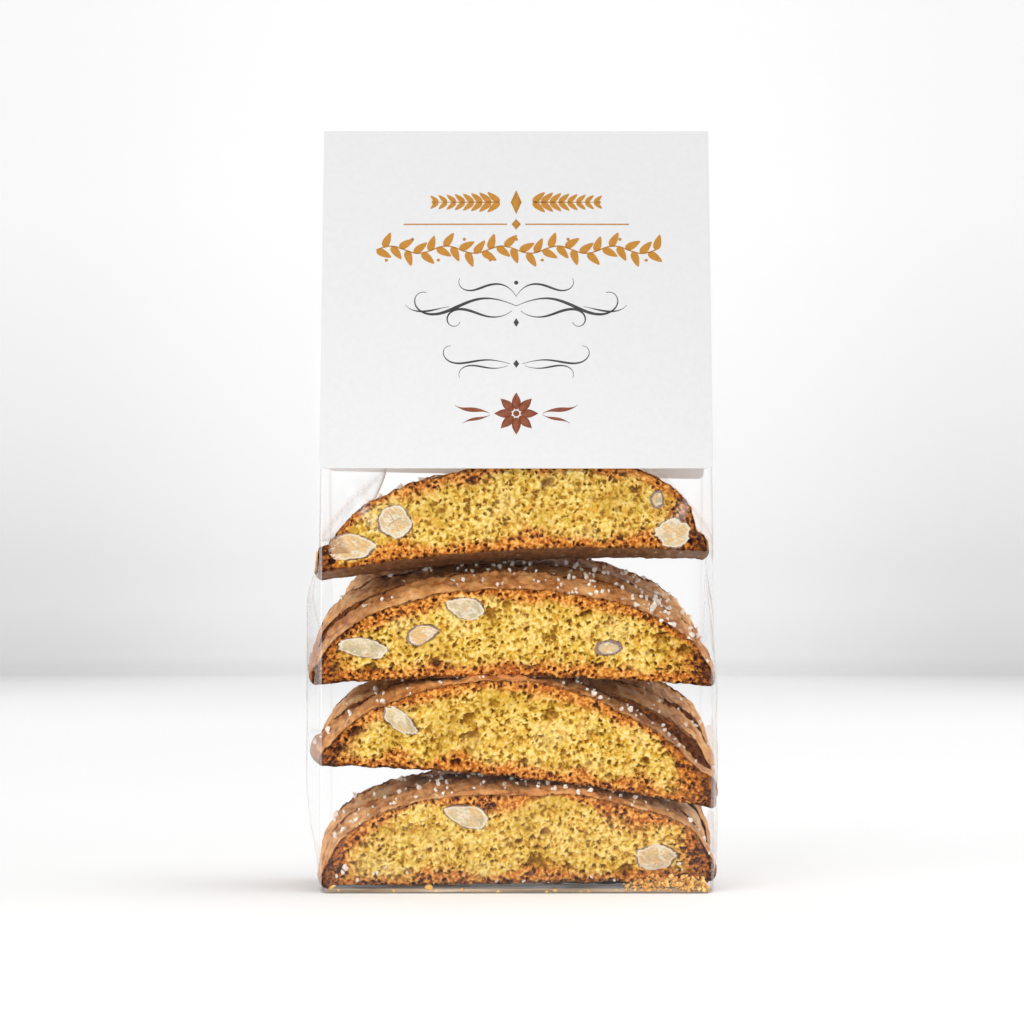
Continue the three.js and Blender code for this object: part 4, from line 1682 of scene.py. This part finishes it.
def cardPrint():
    gold, dark, brown = materials["goldPrint"], materials["darkPrint"], materials["brownPrint"]
    centre = ornament["centre"]
    goldParts, darkParts, brownParts = [], [], []
    sprig = ornament["upperSprig"]
    rule = ornament["rule"]
    vine = ornament["lowerVine"]
    for mirror in (-1, 1):
        run = np.linspace(sprig["from"], sprig["to"], 24)
        path = np.stack([centre + mirror * run, sprig["height"] + 0 * run], 1)
        goldParts.append(leavesAlong(path, sprig, 0.35, 0.0, gold))
        goldParts.append(stroke(path, np.linspace(0.45, 0.2, 24), gold))
        tip = centre + mirror * (sprig["to"] + 1.2)
        goldParts.append(disc(tip, sprig["height"], sprig["berry"], gold))
        run = np.linspace(rule["from"], rule["reach"], 30)
        line = np.stack([centre + mirror * run, rule["height"] + 0 * run], 1)
        goldParts.append(stroke(line, np.full(30, rule["width"]), gold))
    goldParts.append(disc(centre, sprig["height"], sprig["lozenge"], gold, 4, 0.42))
    goldParts.append(disc(centre, rule["height"], rule["lozenge"], gold, 4, 0.8))
    run = np.linspace(-vine["reach"], vine["reach"], 160)
    sway = np.sin(run / vine["reach"] * math.pi * vine["waves"])
    path = np.stack([centre + run, vine["height"] + sway], 1)
    goldParts.append(leavesAlong(path, vine, 0.0, 1.0, gold))
    goldParts.append(stroke(path, np.full(160, vine["stem"]), gold))
    for number in range(-vine["berries"], vine["berries"] + 1):
        x = number * vine["reach"] * vine["berryStep"]
        y = vine["height"] + vine["berryOffset"] * (1 if number % 2 else -1)
        goldParts.append(disc(centre + x, y, vine["berry"], gold))

    high = ornament["scrollHeight"]
    low = ornament["smallScrollHeight"]
    for mirror in (-1, 1):
        darkParts += penLines(ornament["scrolls"], high, mirror, dark)
        darkParts += penLines(ornament["smallScrolls"], low, mirror, dark)
    darkParts.append(disc(centre, high - 4.8, 0.55, dark))
    darkParts.append(disc(centre, low, 1.1, dark, 4, 0.7))
    darkParts.append(disc(centre, high + 6.2, 1.2, dark, 4, 0.6))

    rose = ornament["rosette"]
    reach = np.linspace(rose["petalFrom"], rose["petalFrom"] + rose["length"], 16)
    widths = rose["width"] * np.sin(math.pi * np.linspace(0.04, 1, 16) ** 0.8) + 0.02
    for petal in range(rose["petals"]):
        turn = 2 * math.pi * petal / rose["petals"]
        path = [centre + reach * math.cos(turn), rose["height"] + reach * math.sin(turn)]
        brownParts.append(stroke(np.stack(path, 1), widths, brown))
    brownParts.append(disc(centre, rose["height"], 0.8, brown))
    for mirror in (-1, 1):
        brownParts += penLines(ornament["tendrils"], rose["height"], mirror, brown)
    return [
        (layOnCard("print_gold", goldParts, 0.03), "gold_print"),
        (layOnCard("print_dark", darkParts, 0.03), "dark_print"),
        (layOnCard("print_brown", brownParts, 0.03), "brown_print"),
    ]


grains = {
    "sugar": {"shapes": 4, "corners": 11, "seed": 3, "squash": 0.65},
    "crumb": {"shapes": 5, "corners": 26, "seed": 8, "squash": 0.75},
}


def grainShapes(kind):
    # a few small solids, one unit across, that the scatter repeats
    spec = grains[kind]
    chance = np.random.default_rng(spec["seed"])
    group = bpy.data.collections.new(kind + "Shapes")
    for number in range(spec["shapes"]):
        mesh = bmesh.new()
        for _ in range(spec["corners"]):
            way = Vector(chance.standard_normal(3)).normalized() * (0.5 * chance.uniform(0.78, 1.1))
            way.z *= spec["squash"]
            mesh.verts.new(way)
        hull = bmesh.ops.convex_hull(mesh, input=mesh.verts)
        inner = [corner for corner in hull["geom_interior"] if isinstance(corner, bmesh.types.BMVert)]
        bmesh.ops.delete(mesh, geom=inner, context="VERTS")
        if kind == "crumb":  # dents between the corners make it a torn lump
            for vertex in list(mesh.verts)[::3]:
                vertex.co *= chance.uniform(0.5, 0.8)
        bmesh.ops.recalc_face_normals(mesh, faces=mesh.faces)
        data = bpy.data.meshes.new(f"{kind}Shape{number}")
        mesh.to_mesh(data)
        mesh.free()
        shape = bpy.data.objects.new(data.name, data)
        group.objects.link(shape)
    return group


def scatterTree():
    # small solids strewn over a surface where its "density" attribute allows
    tree, given, result = newTree(
        "strewnGrains",
        "GeometryNodeTree",
        {
            "Geometry": ("Geometry", None),
            "Grains": ("Collection", None),
            "Material": ("Material", None),
            "Per Square Metre": ("Float", 30000.0),
            "Smallest": ("Float", 0.0004),
            "Largest": ("Float", 0.0014),
            "Small Share": ("Float", 2.0),
            "Heap": ("Float", 0.0),
            "Lift": ("Float", 0.4),
            "Seed": ("Int", 1),
        },
        {"Geometry": ("Geometry", None)},
    )
    mask = pointValue(tree, "density")
    spread = addNode(
        tree,
        "GeometryNodeDistributePointsOnFaces",
        {
            "Mesh": given["Geometry"],
            "Density": multiply(tree, mask, given["Per Square Metre"]),
            "Seed": given["Seed"],
        },
    )

    def dice(low, high, offset, kind="FLOAT"):
        made = addNode(tree, "FunctionNodeRandomValue", data_type=kind)
        first = {"FLOAT": 2, "FLOAT_VECTOR": 0}[kind]
        feed(tree, made.inputs[first], low)
        feed(tree, made.inputs[first + 1], high)
        feed(tree, made.inputs["Seed"], add(tree, given["Seed"], float(offset)))
        return made.outputs[1 if kind == "FLOAT" else 0]

    share = maths(tree, "POWER", dice(0.0, 1.0, 11), given["Small Share"])
    size = multiply(tree, subtract(tree, given["Largest"], given["Smallest"]), share)
    size = add(tree, size, given["Smallest"])
    anyWay = dice((0, 0, 0), (6.28, 6.28, 6.28), 12, "FLOAT_VECTOR")
    turn = addNode(tree, "FunctionNodeEulerToRotation", {0: anyWay})
    shapes = addNode(
        tree,
        "GeometryNodeCollectionInfo",
        {"Collection": given["Grains"], "Separate Children": True, "Reset Children": True},
    )
    up = vectorMaths(tree, "SCALE", spread.outputs["Normal"], scale=multiply(tree, size, given["Lift"]))
    high = split(tree, pointPlace(tree))["Z"]
    down = multiply(tree, high, multiply(tree, given["Heap"], dice(0.0, 1.0, 14)))
    fall = combine(tree, Z=multiply(tree, down, -1.0))
    lifted = addNode(
        tree,
        "GeometryNodeSetPosition",
        {"Geometry": spread.outputs["Points"], "Offset": vectorMaths(tree, "ADD", up, fall)},
    )
    placed = addNode(
        tree,
        "GeometryNodeInstanceOnPoints",
        {
            "Points": lifted.outputs[0],
            "Instance": shapes.outputs[0],
            "Pick Instance": True,
            "Rotation": turn.outputs[0],
            "Scale": size,
        },
    )
    finishTree(tree, result, placed.outputs[0], given["Material"])
    return tree


prints = cardPrint()
print("card printed")
strewnGrains = scatterTree()

sugaring = {
    "Per Square Metre": 88000.0,
    "Smallest": 0.0008,
    "Largest": 0.0019,
    "Small Share": 1.3,
    "Lift": 0.42,
    "Seed": 5,
}
# how thickly each slice's crust is sugared, and towards which end
sugared = {
    "topFront": (0.25, 0.0), "topMiddle": (0.4, 0.0), "topBack": (0.5, 0.1),
    "upperFront": (1.1, 0.5), "upperMiddle": (0.9, 0.6), "upperBack": (0.6, 0.5),
    "lowerFront": (0.55, 0.2), "lowerMiddle": (0.3, 0.1), "lowerBack": (0.3, 0.3),
    "bottomFront": (0.9, 0.0), "bottomMiddle": (0.8, 0.1), "bottomBack": (0.5, -0.1),
}


def sugarPiece():
    parts = []
    for name, body in biscuits.items():
        copy = showData("bed", body.data.copy())
        mesh = copy.data
        place = pointsOf(mesh) / mm
        normal = pointsOf(mesh, "normal")
        crust = readAttribute(mesh, "crust")
        under = readAttribute(mesh, "under")
        share, side = sugared[name]
        across = place[:, 0] / 50
        patches = 0.5 + 0.5 * ripple(place[:, 0], place[:, 1] * 1.5, slices[name]["seed"])
        facingUp = easeIn(normal[:, 2], 0.25, 0.8)
        mask = crust * (under < 0.5) * facingUp * (0.25 + 0.75 * easeIn(patches, 0.3, 0.75))
        mask = mask * share * np.clip(1 + side * across * 2, 0.1, 2)
        if name == "bottomFront":
            dusted = (place[:, 1] < -18) * easeIn(place[:, 2], 9, 4) * (crust < 0.5)
            mask = np.maximum(mask, 0.22 * dusted)
        setAttribute(mesh, "density", mask)
        parts.append(copy)
    bed = joinPieces("sugar", parts, tidyNormals=False)
    shapes = grainShapes("sugar")
    bakeTree(bed, strewnGrains, {"Grains": shapes, "Material": materials["sugar"], **sugaring})
    return bed


sugar = sugarPiece()
print("sugar grains", len(sugar.data.polygons))

crumbing = {
    "Per Square Metre": 5000000.0,
    "Smallest": 0.0004,
    "Largest": 0.0015,
    "Small Share": 3.0,
    "Heap": 0.8,
    "Lift": 0.52,
    "Seed": 9,
}
crumbBed = {
    "halfWidth": 48.5,
    "front": -28.4,
    "back": 27.2,
    "columns": 98,
    "rows": 75,
    "heapFrom": 24,  # how far right the heap begins, and where it is as high as it gets
    "heapTo": 35,
    "heapHeight": 3.4,
}
# the larger bits along the front: x, y, size
bigCrumbs = [
    (-46.0, -27.0, 2.6), (-44.4, -27.6, 1.4), (-30.2, -27.9, 1.3), (-21.0, -27.2, 2.7),
    (-19.4, -27.8, 1.3), (-9.6, -28.1, 0.9), (-3.6, -28.0, 1.0), (8.8, -28.0, 1.0),
    (10.9, -27.9, 1.5), (17.6, -28.0, 1.0), (19.6, -28.0, 1.1),
]


def crumbPiece():
    # the bag's floor, raised where crumbs lie heaped
    columns = np.linspace(-crumbBed["halfWidth"], crumbBed["halfWidth"], crumbBed["columns"])
    rows = np.linspace(crumbBed["front"], crumbBed["back"], crumbBed["rows"])
    x, y = np.meshgrid(columns, rows)
    front = easeIn(-y, 14, 27)
    right = easeIn(x, crumbBed["heapFrom"], crumbBed["heapTo"])
    heap = right * (0.3 + 0.7 * front)
    height = 0.2 + crumbBed["heapHeight"] * heap + 0.5 * ripple(x, y, 77) * heap
    density = 0.003 + 0.9 * heap * (0.08 + 0.92 * front) + 0.03 * easeIn(-y, 25.5, 27)
    density = density + 0.02 * easeIn(np.abs(x), 36, 47)
    edge = easeIn(48.8 - np.abs(x), 0, 1.5) * easeIn(28.7 - np.abs(y), 0, 0.6)
    points = np.stack([x + middleX, y, height * edge + 0.15], -1).reshape(-1, 3)
    bed = newPiece("crumbs", points * mm, gridFaces(len(rows), len(columns)))
    setAttribute(bed.data, "density", density.ravel())
    shapes = grainShapes("crumb")
    bakeTree(bed, strewnGrains, {"Grains": shapes, "Material": materials["crumb"], **crumbing})
    parts = [bed]
    for number, (x, y, size) in enumerate(bigCrumbs):
        shape = shapes.objects[number % len(shapes.objects)]
        lump = showData("crumb", shape.data.copy())
        turn = Matrix.Rotation(0.9 * number, 4, "Z") @ Matrix.Rotation(0.4, 4, "X")
        place = Matrix.Translation(Vector((x, y, 0.5 * size)) * mm)
        lump.data.transform(place @ turn @ Matrix.Scale(size * mm, 4))
        lump.data.materials.append(materials["crumb"])
        parts.append(lump)
    return joinPieces("crumbs", parts)


crumbs = crumbPiece()
print("loose crumbs", len(crumbs.data.polygons))

backdrop = {
    # painted light and shade: how light the floor is at a distance behind the bag, and the wall at a
    # height, in mm
    # painted shade: the floor darkens towards the wall
    "floor": [
        (-3000, 0.91), (1359, 0.925), (1500, 0.92), (2009, 0.875), (2300, 0.84), (2655, 0.82),
        (3130, 0.765),
    ],
    # painted shade: the wall is darker down towards the floor
    "wall": [
        (0, 0.715), (34, 0.716), (78, 0.752), (122, 0.748), (167, 0.772), (211, 0.792), (256, 0.805),
        (345, 0.83), (520, 0.868),
    ],
    # painted glow of the floor at a distance behind the bag, and of the wall below
    "floorGlow": [
        (-300, 0.12), (0, 0.18), (165, 0.20), (400, 0.25), (756, 0.30), (1359, 0.38), (2009, 0.41),
        (3130, 0.39),
    ],
    "wallGlow": 0.52,
    "paintedSideShade": 0.15,  # painted shade: how much darker both are out at the sides
    "paintedPool": 0.09,  # painted pool of light: how much lighter the wall is straight behind the bag
    "sideFrom": 200,
    "sideTo": 560,
    # where the mesh lines lie: on the floor, up the wall, and to each side of the middle
    "floorLines": [
        -3000, -300, 0, 165, 400, 756, 1359, 1500, 1800, 2009, 2250, 2450, 2655, 2850, 3000,
        3090, 3130,
    ],
    "wallLines": [
        22, 34, 55, 78, 100, 122, 145, 167, 190, 211, 260, 300, 345, 430, 520, 900, 1500, 4000,
    ],
    "sideLines": [195, 210, 225, 260, 320, 380, 440, 500, 560, 1200, 4500],
}


def addStage():
    # a floor that meets a wall far behind, with the light and shade of a lit sweep painted into their
    # colour
    wall = studio["wallDistance"]
    rows = [(y, 0) for y in backdrop["floorLines"]]
    rows += [(wall - 8, 2), (wall, 10)]
    rows += [(wall, z) for z in backdrop["wallLines"]]
    columns = [-x for x in backdrop["sideLines"][::-1]] + [0] + backdrop["sideLines"]
    points = [(x, y, z) for y, z in rows for x in columns]
    x, y, z = np.array(points, float).T
    onWall = y > wall - 9
    wallTone = np.interp(z, *zip(*backdrop["wall"]))
    tone = np.where(onWall, wallTone, np.interp(y, *zip(*backdrop["floor"])))
    # painted shade out at the sides of the floor and wall
    far = easeIn(np.abs(x), backdrop["sideFrom"], backdrop["sideTo"]) * easeIn(y, 1700, 3000)
    far = far * np.where(onWall, np.interp(z, [0, 300, 700], [1.0, 0.55, 0.25]), 1)
    # painted pool of light on the wall straight behind the bag
    paintedPool = easeIn(-np.abs(x), -225, -195) * easeIn(-z, -420, -320)
    tone = tone * (1 - backdrop["paintedSideShade"] * far) * (1 + backdrop["paintedPool"] * paintedPool * onWall)
    material, tree, shader = newMaterial("paleFloor")
    shade = attribute(tree, "tone")
    # painted glow: floor and wall emit light in their own tone, though they are no lamp
    glow = multiply(tree, shade, attribute(tree, "glow"))
    feed(tree, shader.inputs["Base Color"], shade)
    feed(tree, shader.inputs["Emission Color"], glow)
    shader.inputs["Emission Strength"].default_value = 1.0
    shader.inputs["Roughness"].default_value = 0.6
    shader.inputs["Specular IOR Level"].default_value = 0.0
    floor = newPiece("floor", np.array(points) * mm, gridFaces(len(rows), len(columns)), material)
    setAttribute(floor.data, "tone", tone)
    floorGlow = np.interp(y, *zip(*backdrop["floorGlow"]))
    setAttribute(floor.data, "glow", np.where(onWall, backdrop["wallGlow"], floorGlow))


def hangLight(light, place, aim):
    lamp = showData(light.name, light)
    lamp.location = place
    lamp.rotation_euler = (Vector(aim) - Vector(place)).to_track_quat("-Z", "Y").to_euler()


def addLowLamp():
    values = studio["lowLamp"]
    light = bpy.data.lights.new("lowLamp", "SPOT")
    light.energy = values["power"]
    light.spot_size = math.radians(values["spread"])
    light.spot_blend = 1.0
    light.shadow_soft_size = values["radius"]
    hangLight(light, values["place"], values["aim"])


def addSoftboxes():
    for name, (place, size, power) in studio["softboxes"].items():
        light = bpy.data.lights.new(name, "AREA")
        light.shape = "RECTANGLE"
        light.size, light.size_y = size
        light.energy = power
        hangLight(light, place, studio["softboxAim"])


addStage()
addLowLamp()
addSoftboxes()
world = bpy.data.worlds.new("studioAir")
world.use_nodes = True
world.node_tree.nodes["Background"].inputs["Color"].default_value = (1, 1, 1, 1)
world.node_tree.nodes["Background"].inputs["Strength"].default_value = studio["worldStrength"]
bpy.context.scene.world = world
print("studio set")

pieces = [(body, "biscuit") for body in biscuits.values()]
pieces += [(kernels, "almond") for kernels in almonds.values()]
pieces += prints
pieces += [(sugar, "sugar"), (crumbs, "crumb"), (folds, "film"), (film, "film"), (card, "card")]
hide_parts("biscuit_bag")
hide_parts("header_card")
for piece, slotName in pieces:
    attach(piece, "root")
